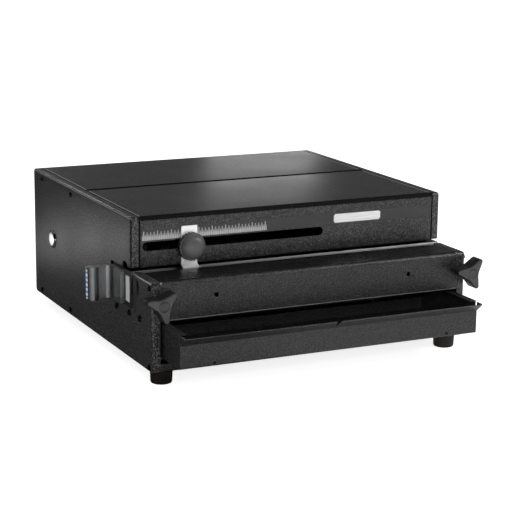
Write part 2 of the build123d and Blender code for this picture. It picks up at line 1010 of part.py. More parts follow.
def crankshaft():
    """The plain shaft across the machine that the large gear turns."""
    end = bearing_plate_inner + bearing_plate_width - running_fit
    return rod_x(crank_radius, -end, end, crank_y, crank_z)


def eccentric(side):
    """An eccentric disc on the crankshaft, with its throw to the rear at rest."""
    disc = Pos(crank_y + throw, crank_z) * Circle(eccentric_radius)
    disc -= Pos(crank_y, crank_z) * Circle(crank_radius + bore_fit)
    return along_x(disc, side * yoke_x - eccentric_width / 2, side * yoke_x + eccentric_width / 2)


def roller(side):
    """The bearing ring round an eccentric that runs in the yoke."""
    ring = Circle(roller_radius) - Circle(eccentric_radius + bore_fit)
    place = Pos(crank_y + throw, crank_z)
    return along_x(place * ring, side * yoke_x - roller_width / 2, side * yoke_x + roller_width / 2)


def yoke(side):
    """The plate with an upright window round the eccentric, which pushes the ram."""
    window_half = roller_radius + yoke_lost_motion
    window_tall = roller_radius + throw + yoke_lost_motion
    centre = crank_y + throw
    rear = centre + window_half + yoke_wall
    height = 2 * (window_tall + yoke_wall)
    plate = Pos((ram_rear + rear) / 2, crank_z) * RectangleRounded(rear - ram_rear, height, yoke_corner)
    plate -= Pos(centre, crank_z) * RectangleRounded(2 * window_half, 2 * window_tall, yoke_corner)
    return along_x(plate, side * yoke_x - yoke_width / 2, side * yoke_x + yoke_width / 2)


def ram_bar():
    """The ram: a long bar with a tee slot along its front and a guided tongue at each end."""
    front = retainer_rear + tee_gap
    bar = outline((front, ram_low), (ram_rear, ram_low), (ram_rear, ram_high), (front, ram_high))
    neck_half = tee_neck / 2 + tee_gap
    head_half = tee_head / 2 + tee_gap
    head_front = retainer_rear + tee_neck_depth - tee_gap
    head_rear = retainer_rear + tee_neck_depth + tee_head_depth + tee_gap
    slot = outline(
        (front, crank_z - neck_half),
        (head_front, crank_z - neck_half),
        (head_front, crank_z - head_half),
        (head_rear, crank_z - head_half),
        (head_rear, crank_z + head_half),
        (head_front, crank_z + head_half),
        (head_front, crank_z + neck_half),
        (front, crank_z + neck_half),
    )
    ram = along_x(bar - slot, -ram_length / 2, ram_length / 2)
    low = crank_z - tongue_height / 2
    high = crank_z + tongue_height / 2
    for side in (-1, 1):
        near = side * tongue_inner
        far = side * (tongue_inner + tongue_width)
        ram += block(near, far, ram_rear, tongue_rear, low, high)
    return ram


def tooth_face(teeth, phase):
    """The plan of a spur gear with trapezoid teeth whose flanks follow an involute at three points."""
    pitch_radius = gear_module * teeth / 2
    base_radius = pitch_radius * math.cos(math.radians(pressure_angle))
    root_radius = pitch_radius - gear_module - gear_module / 4
    tip_radius = pitch_radius + gear_module
    half_tooth = (math.pi * gear_module / 2 - tooth_backlash) / 2 / pitch_radius
    pitch_roll = math.tan(math.radians(pressure_angle)) - math.radians(pressure_angle)
    points = []
    for number in range(teeth):
        middle = 2 * math.pi * number / teeth + phase
        flank = []
        for radius in (root_radius, pitch_radius - gear_module / 2, pitch_radius, tip_radius):
            angle = math.acos(min(1, base_radius / radius))
            lean = half_tooth + pitch_roll - (math.tan(angle) - angle)
            flank.append((radius, lean))
        for radius, lean in flank:
            points.append((radius * math.cos(middle - lean), radius * math.sin(middle - lean)))
        for radius, lean in reversed(flank):
            points.append((radius * math.cos(middle + lean), radius * math.sin(middle + lean)))
    return outline(*points)


def crank_gear():
    """The large gear on the crankshaft, with a thinned web, a hub and round lightening holes."""
    face = tooth_face(gear_teeth, math.radians(mesh_angle))
    face -= Circle(crank_radius + bore_fit)
    gear = along_x(face, 0, gear_width)
    rim = gear_pitch_radius - gear_module - gear_rim
    recess = Circle(rim) - Circle(gear_hub_radius)
    gear -= along_x(recess, 0, gear_web_recess)
    gear -= along_x(recess, gear_width - gear_web_recess, gear_width)
    hole_ring = (rim + gear_hub_radius) / 2
    for place in PolarLocations(hole_ring, gear_hole_count):
        gear -= along_x(place * Circle(gear_hole_radius), 0, gear_width)
    return Pos(gear_x, crank_y, crank_z) * gear


def drive_pinion():
    """The pinion and its shaft, cut from one bar, meshing with the large gear."""
    turned = math.radians(mesh_angle + 180 + 180 / pinion_teeth)
    teeth = along_x(tooth_face(pinion_teeth, turned), -pinion_overlap, gear_width + pinion_overlap)
    shaft = rod_x(pinion_shaft_radius, -pinion_shaft_length, -pinion_overlap, 0, 0)
    return Pos(gear_x, pinion_y, pinion_z) * (teeth + shaft)


def timing_cam():
    """The disc on the crankshaft whose notch tells the stop switch that the ram is back."""
    disc = Circle(cam_radius) - Pos(0, cam_radius) * Circle(cam_notch_radius)
    disc -= Circle(crank_radius + bore_fit)
    return Pos(cam_x, crank_y, crank_z) * along_x(disc, 0, cam_width)


def stop_switch():
    """The small switch above the timing cam, on the inner face of the right bearing plate."""
    low = crank_z + cam_radius + switch_lift
    body = block(
        cam_x,
        bearing_plate_inner,
        crank_y - switch_length / 2,
        crank_y + switch_length / 2,
        low,
        low + switch_height,
    )
    button_low = low - switch_lift + switch_travel_gap
    return body + rod_z(switch_button_radius, button_low, low, cam_x + cam_width / 2, crank_y)


def motor_bracket():
    """The upright bracket on the base pan that holds the gearbox and lets the pinion through."""
    front = pinion_y - bracket_front_reach
    rear = pinion_y + bracket_half_depth
    face = outline(
        (front, base_top),
        (rear, base_top),
        (rear, pinion_z + bracket_top_reach),
        (front, pinion_z + bracket_top_reach),
    )
    face = fillet(face.vertices().group_by(Axis.Y)[-1], bearing_corner)
    face -= Pos(pinion_y, pinion_z) * Circle(pinion_shaft_radius + clamp_hole_gap)
    upright = along_x(face, bracket_left, bracket_right)
    sole_left = bracket_right - bracket_foot_length
    return upright + block(sole_left, bracket_left, front, rear, base_top, base_top + bracket_width)


def gearbox():
    """The cast gearbox between the motor and the pinion."""
    face = Pos(pinion_y, pinion_z) * RectangleRounded(2 * gearbox_half, 2 * gearbox_half, gearbox_corner)
    body = along_x(face, bracket_left - gearbox_length, bracket_left)
    shaft_end = gear_x - pinion_shaft_length
    return body - rod_x(pinion_shaft_radius + running_fit, shaft_end, bracket_left, pinion_y, pinion_z)


def motor():
    """The motor with its slotted end cap, on the gearbox."""
    left = motor_left
    can = rod_x(motor_radius, left, motor_right, pinion_y, pinion_z)
    cap = rod_x(motor_cap_radius, left - motor_cap_length, left, pinion_y, pinion_z)
    cap = fillet(cap.faces().sort_by(Axis.X)[0].edges(), motor_slot_width)
    slot = block(
        left - motor_cap_length + motor_slot_width,
        left - motor_slot_width,
        motor_cap_radius - motor_slot_width,
        motor_cap_radius + cut_over,
        -motor_slot_width / 2,
        motor_slot_width / 2,
    )
    for number in range(motor_slot_count):
        turn = Rot(360 * number / motor_slot_count, 0, 0)
        cap -= Pos(0, pinion_y, pinion_z) * turn * slot
    return can + cap


def pin_places():
    """The middle of each punch pin across the machine."""
    first = -(pin_count - 1) * pin_pitch / 2
    return [first + number * pin_pitch for number in range(pin_count)]


def die_plate():
    """The front plate of the die set, with a square hole for each pin and a relief for the chips."""
    face = outline(
        (die_plate_front, die_bottom),
        (throat_narrow_front, die_bottom),
        (throat_narrow_front, throat_floor),
        (throat_front, die_plate_top),
        (die_plate_front, die_plate_top),
    )
    plate = along_x(face, -half_width, half_width)
    size = pin_size + 2 * pin_clearance
    relief = size + 2 * chip_relief
    for x in pin_places():
        place = Pos(x, clamp_z)
        plate -= along_y(place * Rectangle(size, size), die_plate_front, throat_narrow_front)
        relief_rear = die_plate_front + chip_relief_depth
        plate -= along_y(place * Rectangle(relief, relief), die_plate_front, relief_rear)
    return plate


def die_guide_block():
    """The block behind the throat that guides the pins, with a lead-in for the paper."""
    face = outline(
        (throat_rear, die_base_top),
        (guide_block_rear, die_base_top),
        (guide_block_rear, guide_block_top),
        (throat_rear + throat_lead, guide_block_top),
        (throat_rear, guide_block_top - 2 * throat_lead),
    )
    guide = along_x(face, -half_width, half_width)
    size = pin_size + 2 * pin_clearance
    for x in pin_places():
        guide -= along_y(Pos(x, clamp_z) * Rectangle(size, size), throat_rear, guide_block_rear)
    return guide


def die_base():
    """The long base of the die set, which also forms the floor of the throat."""
    face = outline(
        (throat_narrow_front, die_bottom),
        (die_base_rear, die_bottom),
        (die_base_rear, die_base_top),
        (throat_rear, die_base_top),
        (throat_rear, throat_floor),
        (throat_narrow_front, throat_floor),
    )
    return along_x(face, -half_width, half_width)


def die_end_plates():
    """The end plates that close the die set, the left one longer to carry the handle."""
    inner = half_width - die_end_thickness
    left = block(-half_width, -inner, guide_block_rear, left_end_rear, die_base_top, guide_block_top)
    right = block(inner, half_width, guide_block_rear, right_end_rear, die_base_top, guide_block_top)
    return [left, right]


def die_handle():
    """The extruded pull handle: a flange, a web with a wide root and a round grip."""
    foot_x = -half_width
    face_x = -half_width - handle_flange
    section = outline(
        (foot_x, handle_front),
        (face_x, handle_front),
        (face_x, handle_web_front),
        (bulb_x, handle_web_front),
        (bulb_x, handle_web_rear),
        (foot_x, handle_web_rear),
    )
    root = section.vertices().sort_by_distance((face_x, handle_web_front))[0]
    section = fillet(root, handle_root_radius)
    section += Pos(bulb_x, bulb_y) * Circle(bulb_radius)
    for number in (1, 2, 3):
        middle = foot_x - handle_flange * number / 4
        section -= Pos(middle, handle_front) * Rectangle(handle_groove / 2, 2 * handle_groove_depth)
    return along_z(section, handle_low, handle_high)


def pin_retainer():
    """The bar that holds the pins, with a tee rail that the ram pushes and pulls."""
    neck_half = tee_neck / 2
    head_half = tee_head / 2
    neck_rear = retainer_rear + tee_neck_depth
    head_rear = neck_rear + tee_head_depth
    face = outline(
        (retainer_front, retainer_low),
        (retainer_rear, retainer_low),
        (retainer_rear, crank_z - neck_half),
        (neck_rear, crank_z - neck_half),
        (neck_rear, crank_z - head_half),
        (head_rear, crank_z - head_half),
        (head_rear, crank_z + head_half),
        (neck_rear, crank_z + head_half),
        (neck_rear, crank_z + neck_half),
        (retainer_rear, crank_z + neck_half),
        (retainer_rear, retainer_high),
        (retainer_front, retainer_high),
    )
    bar = along_x(face, -retainer_length / 2, retainer_length / 2)
    size = pin_size + 2 * pin_clearance
    for x in pin_places():
        bar -= along_y(Pos(x, clamp_z) * Rectangle(size, size), retainer_front, retainer_front + pin_seat)
    return bar


def punch_pins():
    """The row of square pins, drawn back behind the throat at rest."""
    tip = throat_rear + pin_withdrawn
    pins = []
    for x in pin_places():
        square = Pos(x, clamp_z) * Rectangle(pin_size, pin_size)
        pins.append(along_y(square, tip, retainer_front + pin_seat))
    return pins


def chip_drawer():
    """The drawer under the table, with a flared front lip, end walls and a low rear wall."""
    half = drawer_sheet / 2
    line = bent_strip(
        [
            (drawer_rear - half, drawer_rear_top),
            (drawer_rear - half, drawer_bottom + half),
            (drawer_front + half, drawer_bottom + half),
            (drawer_front + half, drawer_bend_z),
            (lip_rim_y, lip_rim_z),
        ],
        [drawer_bend, drawer_bend, drawer_bend],
        drawer_sheet,
    )
    drawer = along_x(line, -drawer_half, drawer_half)
    wall = outline(
        (drawer_rear - half, drawer_bottom + half),
        (drawer_rear - half, drawer_rear_top),
        (drawer_wall_knee, drawer_wall_top),
        (drawer_wall_front, drawer_wall_top),
        (drawer_wall_front, drawer_bend_z),
        (drawer_front + half, drawer_bend_z - half),
        (drawer_front + half, drawer_bottom + half),
    )
    gusset = outline(
        (gusset_rear, drawer_bend_z + drawer_sheet),
        (gusset_rear, gusset_top),
        (lip_rim_y, gusset_top),
        (lip_rim_y + half, lip_rim_z),
    )
    for side in (-1, 1):
        outer = side * drawer_half
        inner = side * (drawer_half - drawer_sheet)
        drawer += along_x(wall, outer, inner)
        drawer += along_x(gusset, outer, inner)
        drawer += block(
            outer,
            side * (drawer_half - drawer_flange),
            drawer_wall_front,
            drawer_wall_knee,
            drawer_wall_top - drawer_sheet,
            drawer_wall_top,
        )
        hole_x = side * drawer_hole_x
        hole_rear = drawer_front + drawer_sheet
        drawer -= rod_y(drawer_hole_radius, drawer_front - cut_over, hole_rear, hole_x, drawer_hole_z)
    notch = outline(
        (0, drawer_bend_z),
        (-lip_notch / 2, lip_rim_z),
        (-lip_notch / 2, lip_rim_z + cut_over),
        (lip_notch / 2, lip_rim_z + cut_over),
        (lip_notch / 2, lip_rim_z),
    )
    return drawer - along_y(notch, lip_rim_y - cut_over, drawer_front)


def drawer_runner(side):
    """A bent ledge on a side panel that the drawer slides on, rounded at its front corner."""
    top = drawer_bottom - runner_gap
    front = bend_radius - table_reach
    ledge = outline(
        (-panel_inner, front),
        (-runner_inner, front),
        (-runner_inner, runner_rear),
        (-panel_inner, runner_rear),
    )
    corner = ledge.vertices().sort_by(Axis.Y)[:2].sort_by(Axis.X)[-1]
    ledge = fillet(corner, runner_front_radius)
    runner = along_z(ledge, top - runner_thickness, top)
    web = -panel_inner + runner_thickness
    runner += block(-panel_inner, web, front + runner_front_radius, runner_rear, top - runner_drop, top)
    if side < 0:
        return runner
    return mirror(runner, about=Plane.YZ)


def edge_guide():
    """The silver stop plate for the paper edge, bent forward over the throat at its foot."""
    middle = -guide_back_gap - guide_plate / 2
    line = bent_strip(
        [
            (middle, guide_top),
            (middle, guide_foot_z),
            (middle - guide_foot_reach, guide_foot_z - guide_foot_drop),
        ],
        [guide_plate],
        guide_plate,
    )
    plate = along_x(line, guide_left, guide_right)
    corners = plate.edges().filter_by(Axis.Y).group_by(Axis.Z)[-1]
    plate = fillet(corners.sort_by(Axis.X)[0], guide_corner)
    front = -guide_back_gap - guide_plate
    hole_radius = guide_screw_radius + running_fit
    return plate - rod_y(hole_radius, front, -guide_back_gap, guide_knob_x, guide_knob_z)


def guide_knob_front():
    """Where the knob of the edge guide meets its plate."""
    return -guide_back_gap - guide_plate - strip_thickness


def guide_knob():
    """The round knob of the edge guide: a ridged rim, a domed face and the screw through the slot."""
    rear = guide_knob_front()
    rim = Circle(guide_knob_radius)
    for place in PolarLocations(guide_knob_radius, guide_knob_ridges):
        rim -= place * Circle(guide_ridge_radius)
    knob = along_y(rim, rear - guide_knob_rim, rear)
    face = rear - guide_knob_rim
    crown = rod_y(guide_dome_radius, face - guide_knob_dome, face, 0, 0)
    crown = fillet(crown.faces().sort_by(Axis.Y)[0].edges(), guide_knob_dome * dome_round_share)
    screw = rod_y(guide_screw_radius, rear, rear + guide_screw_length, 0, 0)
    return Pos(guide_knob_x, 0, guide_knob_z) * (knob + crown + screw)


def guide_nut():
    """The nut plate behind the front cover that travels with the edge guide."""
    front = sheet + half_sheet
    nut = RegularPolygon(guide_nut_radius, 6)
    nut -= Circle(guide_screw_radius + running_fit)
    return along_y(Pos(guide_knob_x, guide_knob_z) * nut, front, front + guide_nut_depth)


def star_knob(side):
    """A three-armed clamp knob with waisted arms and a shallow round cap recess."""
    first = right_arm_angle if side > 0 else left_arm_angle
    star = Circle(knob_hub_radius)
    for number in range(knob_arms):
        turn = Rot(0, 0, first + 360 * number / knob_arms)
        arm_middle = (knob_reach - knob_arm_radius) / 2
        arm = Pos(arm_middle, 0) * Rectangle(knob_reach - knob_arm_radius, 2 * knob_arm_radius)
        arm += Pos(knob_reach - knob_arm_radius, 0) * Circle(knob_arm_radius)
        star += turn * arm
    corners = [v for v in star.vertices() if math.hypot(v.X, v.Y) < knob_hub_radius + knob_edge]
    star = fillet(corners, knob_waist_radius)
    body = along_y(star, knob_front, knob_front + knob_depth)
    body = fillet(body.faces().sort_by(Axis.Y)[0].edges(), knob_edge)
    body -= rod_y(knob_cap_radius, knob_front, knob_front + knob_cap_recess, 0, 0)
    rear = knob_front + knob_depth
    body += rod_y(knob_boss_radius, rear, rear + knob_boss_length, 0, 0)
    seat = rear + knob_boss_length - knob_screw_seat
    body -= rod_y(clamp_screw_radius, seat, rear + knob_boss_length, 0, 0)
    return Pos(side * knob_x, 0, clamp_z) * body


def clamp_screw(side):
    """The steel stud moulded into a star knob, whose tip presses on the die set."""
    start = knob_front + knob_depth + knob_boss_length - knob_screw_seat
    return rod_y(clamp_screw_radius, start, die_plate_front - clamp_tip_gap, side * knob_x, clamp_z)


def power_inlet():
    """The mains inlet socket in the rear panel, with its three blades."""
    body = along_y(Rectangle(inlet_width, inlet_height), upper_depth - inlet_depth, upper_depth)
    flange = RectangleRounded(inlet_width + 2 * inlet_rim, inlet_height + 2 * inlet_rim, inlet_corner)
    body += along_y(flange, upper_depth, upper_depth + inlet_flange)
    mouth = RectangleRounded(inlet_width - 2 * inlet_wall, inlet_height - 2 * inlet_wall, inlet_corner)
    mouth_rear = upper_depth + inlet_flange
    body -= along_y(mouth, mouth_rear - inlet_recess, mouth_rear)
    start = mouth_rear - inlet_recess
    live_places = [(-inlet_pin_spread, -inlet_pin_lift), (inlet_pin_spread, -inlet_pin_lift)]
    for x, z in live_places + [(0, inlet_pin_lift)]:
        blade = Pos(x, z) * Rectangle(inlet_pin_thin, inlet_pin_wide)
        body += along_y(blade, start, start + inlet_pin_length)
    return Pos(inlet_x, 0, socket_z) * body


def switch_housing():
    """The frame of the power switch in the rear panel."""
    body = along_y(Rectangle(switch_width, switch_tall), upper_depth - switch_deep, upper_depth)
    bezel = Rectangle(switch_width + 2 * switch_rim, switch_tall + 2 * switch_rim)
    body += along_y(bezel, upper_depth, upper_depth + switch_bezel)
    well = Rectangle(switch_width - 2 * switch_rim, switch_tall - 2 * switch_rim)
    body -= along_y(well, upper_depth - switch_deep + switch_rim, upper_depth + switch_bezel)
    pivot_y = upper_depth - rocker_pivot_depth
    body -= rod_x(rocker_pin_radius + running_fit, -switch_width / 2, switch_width / 2, pivot_y, 0)
    return Pos(rocker_x, 0, socket_z) * body


def power_rocker():
    """The rocker of the power switch on its pivot pin, shown in its off position."""
    half_w = switch_width / 2 - switch_rim - rocker_gap
    half_t = switch_tall / 2 - switch_rim - 2 * rocker_gap
    radius = switch_tall / 2 - switch_rim - rocker_gap
    face = Circle(radius) & Pos(radius / 2, 0) * Rectangle(radius, 2 * half_t)
    face -= Pos(radius + rocker_crown_radius - rocker_gap, 0) * Circle(rocker_crown_radius)
    face += Circle(2 * rocker_pin_radius)
    rocker = along_x(face, -half_w, half_w)
    rocker += rod_x(rocker_pin_radius, -switch_width / 2 + rocker_gap, switch_width / 2 - rocker_gap, 0, 0)
    pivot = Pos(rocker_x, upper_depth - rocker_pivot_depth, socket_z)
    return pivot * Rot(rocker_tilt, 0, 0) * rocker


def footswitch_jack():
    """The round jack for a foot switch, with its nut outside the rear panel."""
    rear = upper_depth + jack_nut_depth
    body = rod_y(jack_radius, upper_depth - sheet, rear, 0, 0)
    body += along_y(RegularPolygon(jack_nut_radius, 6), upper_depth, rear)
    front = upper_depth - sheet - jack_body_depth
    body += along_y(Rectangle(jack_body, jack_body), front, upper_depth - sheet)
    body -= rod_y(jack_bore_radius, rear - jack_bore_depth, rear, 0, 0)
    return Pos(jack_x, 0, socket_z) * body


def control_board():
    """The control board on four posts, with its relay and capacitors."""
    low = base_top + board_lift
    top = low + board_thickness
    half_x = board_width / 2
    half_y = board_depth / 2
    board = block(-half_x, half_x, -half_y, half_y, low, top)
    for x in (post_inset - half_x, half_x - post_inset):
        for y in (post_inset - half_y, half_y - post_inset):
            board += rod_z(post_radius, base_top, low, x, y)
    board += block(0, relay_width, -relay_depth / 2, relay_depth / 2, top, top + relay_height)
    for y in (-capacitor_radius - post_radius, capacitor_radius + post_radius):
        board += rod_z(capacitor_radius, top, top + capacitor_height, -relay_width, y)
    return Pos(board_x, board_y, 0) * board


pieces = {
    "side_panel_left": side_panel(-1),
    "side_panel_right": side_panel(1),
    "hole_plug": hole_plug(),
    "front_cover": front_cover(),
    "rear_top_cover": rear_top_cover(),
    "rear_panel": rear_panel(),
    "base_pan": base_pan(),
    "front_table": front_table(),
    "ruler_strip": ruler_strip(),
    "badge_plate": badge_plate(),
    "foot_screws": foot_screws(),
    "panel_screws": panel_screws(),
    "bed_screws": bed_bar_screws(),
    "rear_bed_bar": bed_bar(rear_bed_front, rear_bed_rear),
    "front_bed_bar": bed_bar(front_bed_front, front_bed_rear),
    "clamp_bushes": pair(clamp_bush),
    "drawer_runner_left": drawer_runner(-1),
    "drawer_runner_right": drawer_runner(1),
    "bearing_plate_left": bearing_plate(-1),
    "bearing_plate_right": bearing_plate(1),
    "crank_bearings": pair(crank_bearing),
    "ram_guides": pair(ram_guide),
    "crankshaft": crankshaft(),
    "eccentrics": pair(eccentric),
    "eccentric_bearings": pair(roller),
    "crank_gear": crank_gear(),
    "timing_cam": timing_cam(),
    "stop_switch": stop_switch(),
    "drive_pinion": drive_pinion(),
    "motor_bracket": motor_bracket(),
    "gearbox": gearbox(),
    "motor": motor(),
    "ram_bar": ram_bar(),
    "yokes": pair(yoke),
    "die_plate": die_plate(),
    "die_guide_block": die_guide_block(),
    "die_base": die_base(),
    "die_end_plates": die_end_plates(),
    "die_handle": die_handle(),
    "pin_retainer": pin_retainer(),
    "punch_pins": punch_pins(),
    "chip_drawer": chip_drawer(),
    "edge_guide": edge_guide(),
    "guide_nut": guide_nut(),
    "guide_knob": guide_knob(),
    "star_knob_left": star_knob(-1),
    "star_knob_right": star_knob(1),
    "clamp_screw_left": clamp_screw(-1),
    "clamp_screw_right": clamp_screw(1),
    "power_inlet": power_inlet(),
    "switch_housing": switch_housing(),
    "power_rocker": power_rocker(),
    "footswitch_jack": footswitch_jack(),
    "control_board": control_board(),
}
for name, (x, y) in foot_places().items():
    pieces[name] = foot(x, y)

# The origin goes to the middle of the footprint of all pieces, on the floor
everything = []
for solid in pieces.values():
    everything.extend(solid if isinstance(solid, list) else [solid])
reach = Compound(children=[Part() + solid for solid in everything]).bounding_box()
origin_shift = Pos(-(reach.min.X + reach.max.X) / 2, -(reach.min.Y + reach.max.Y) / 2, 0)

os.makedirs("parts", exist_ok=True)
for name, solid in pieces.items():
    group = solid if isinstance(solid, list) else [solid]
    placed = [origin_shift * member for member in group]
    whole = Compound(children=placed) if len(placed) > 1 else placed[0]
    export_step(whole, "parts/" + name + ".step")
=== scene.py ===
"""Looks of an electric binding punch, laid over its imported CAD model.

Lengths in the classes are millimetres from the datum, the point on the floor under the middle of
the cabinet's front plane: x to the right, y to the rear and z up. Datum turns them into the metres
of the row frame.
"""
import json
import logging
import math
from dataclasses import dataclass
from enum import Enum
from functools import lru_cache
from typing import Callable, Optional, Protocol, Sequence, Union

import bmesh
import bpy
from mathutils import Matrix, Vector


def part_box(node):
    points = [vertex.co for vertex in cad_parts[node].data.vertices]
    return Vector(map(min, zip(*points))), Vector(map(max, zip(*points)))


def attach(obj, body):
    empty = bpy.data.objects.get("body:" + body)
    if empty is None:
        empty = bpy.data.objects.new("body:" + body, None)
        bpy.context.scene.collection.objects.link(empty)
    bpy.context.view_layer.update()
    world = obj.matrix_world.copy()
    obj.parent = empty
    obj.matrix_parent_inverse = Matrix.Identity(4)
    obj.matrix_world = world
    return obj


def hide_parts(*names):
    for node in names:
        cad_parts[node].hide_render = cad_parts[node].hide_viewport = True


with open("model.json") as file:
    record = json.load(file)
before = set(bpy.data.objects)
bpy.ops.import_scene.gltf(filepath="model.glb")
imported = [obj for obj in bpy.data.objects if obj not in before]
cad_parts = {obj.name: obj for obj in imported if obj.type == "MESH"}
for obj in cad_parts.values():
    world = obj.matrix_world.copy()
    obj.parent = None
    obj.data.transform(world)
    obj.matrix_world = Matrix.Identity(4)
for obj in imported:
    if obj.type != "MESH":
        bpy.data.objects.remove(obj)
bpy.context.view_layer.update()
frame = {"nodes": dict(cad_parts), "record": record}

# A millimetre in metres, and a metre in millimetres.
MM = 0.001
METRE = 1000.0
FULL_TURN = 2 * math.pi
QUARTER_TURN = math.pi / 2
# How near corners are merged: in metres for finished meshes, in millimetres for turned ones.
MERGE_DISTANCE = 2e-6
PROFILE_MERGE = 0.002
SHARP_ANGLE = math.radians(32)
BEVEL_SAMPLES = 4
# Cosines of the lean of the rounded normals, on a full edge and where the edge ends.
EDGE_LEAN = (0.75, 0.985)
# Sockets of a mix node that take and give colours.
MIX_FIRST, MIX_SECOND, MIX_RESULT = 6, 7, 2
# Distance of the side panels' outer faces from the middle, in millimetres.
PANEL_WALL = 228.5

Colour = tuple[float, float, float]
Span = tuple[float, float]
Radius = Callable[[float], float]
Socket = bpy.types.NodeSocket
Number = Union[float, Socket]
Size = Union[float, Sequence[float]]

log = logging.getLogger("binding_punch")


@dataclass(frozen=True)
class Datum:
    """The floor point under the middle of the cabinet's front plane, in the row frame.

    Attributes:
        x: Middle of the cabinet across its width, in metres.
        y: Front plane of the upper cabinet, in metres.
    """

    x: float
    y: float

    @classmethod
    def from_frame(cls) -> "Datum":
        """Reads the datum from the side panels and the front cover.

        Returns:
            The datum of this pack.
        """
        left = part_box("side_panel_left")[0].x
        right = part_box("side_panel_right")[1].x
        return cls((left + right) / 2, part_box("front_cover")[0].y)

    def point(self, x: float, y: float, z: float) -> Vector:
        """Turns a point in datum millimetres into the row frame's metres."""
        return Vector((self.x + x * MM, self.y + y * MM, z * MM))


DATUM = Datum.from_frame()


class Facing(Enum):
    """Which way the axis of a turned or lofted piece points."""

    UP = Matrix.Identity(4)
    FRONT = Matrix.Rotation(QUARTER_TURN, 4, "X")
    LEFT = Matrix.Rotation(-QUARTER_TURN, 4, "Y")
    RIGHT = Matrix.Rotation(QUARTER_TURN, 4, "Y")


class NodeTools:
    """Adds and links the nodes of one tree."""

    def __init__(self, tree: bpy.types.NodeTree, shader: bpy.types.Node) -> None:
        """Keeps the tree and its shader.

        Args:
            tree: The node tree.
            shader: The node that the others lead to.
        """
        self.tree = tree
        self.shader = shader

    def add(self, kind: str, **settings: object) -> bpy.types.Node:
        """Adds a node and sets its plain properties.

        Args:
            kind: Blender's name for the node.
            settings: Properties of the node by name.

        Returns:
            The new node.
        """
        node = self.tree.nodes.new(kind)
        for name, value in settings.items():
            setattr(node, name, value)
        return node

    def feed(self, target: Socket, source: object) -> None:
        """Links a socket to another, or sets it to a plain value.

        Args:
            target: The input socket.
            source: The output socket that feeds it, or its value.
        """
        if isinstance(source, bpy.types.NodeSocket):
            self.tree.links.new(source, target)
        else:
            target.default_value = source

    def lay(self, **sources: object) -> None:
        """Feeds the shader's sockets, named with underscores for spaces."""
        for name, source in sources.items():
            self.feed(self.shader.inputs[name.replace("_", " ").title()], source)

    def laid(self, name: str) -> Socket:
        """What feeds one of the shader's sockets so far."""
        return self.shader.inputs[name].links[0].from_socket

    def math(self, operation: str, *values: Number, clamp: bool = False) -> Socket:
        """Does arithmetic on up to three numbers.

        Args:
            operation: Blender's name for the operation.
            values: The numbers, in the order of the node's sockets.
            clamp: Whether the result is held between 0 and 1.

        Returns:
            The socket with the result.
        """
        node = self.add("ShaderNodeMath", operation=operation, use_clamp=clamp)
        for socket, value in zip(node.inputs, values):
            self.feed(socket, value)
        return node.outputs[0]

    def levels(
        self, value: Socket, low: float, high: float, start: float = 0.3, end: float = 0.7
    ) -> Socket:
        """Stretches a pattern between two levels.

        Args:
            value: The pattern.
            low: Level at the start.
            high: Level at the end.
            start: Value of the pattern that gives the low level.
            end: Value of the pattern that gives the high level.

        Returns:
            The socket with the stretched pattern.
        """
        node = self.add("ShaderNodeMapRange", clamp=True)
        self.feed(node.inputs["Value"], value)
        limits = {"From Min": start, "From Max": end, "To Min": low, "To Max": high}
        for name, limit in limits.items():
            node.inputs[name].default_value = limit
        return node.outputs["Result"]

    def between(self, share: Number, first: Number, second: Number) -> Socket:
        """Mixes two numbers.

        Args:
            share: Share of the second number.
            first: The number at share 0.
            second: The number at share 1.

        Returns:
            The socket with the mixed number.
        """
        node = self.add("ShaderNodeMix")
        for name, number in (("Factor", share), ("A", first), ("B", second)):
            self.feed(node.inputs[name], number)
        return node.outputs["Result"]


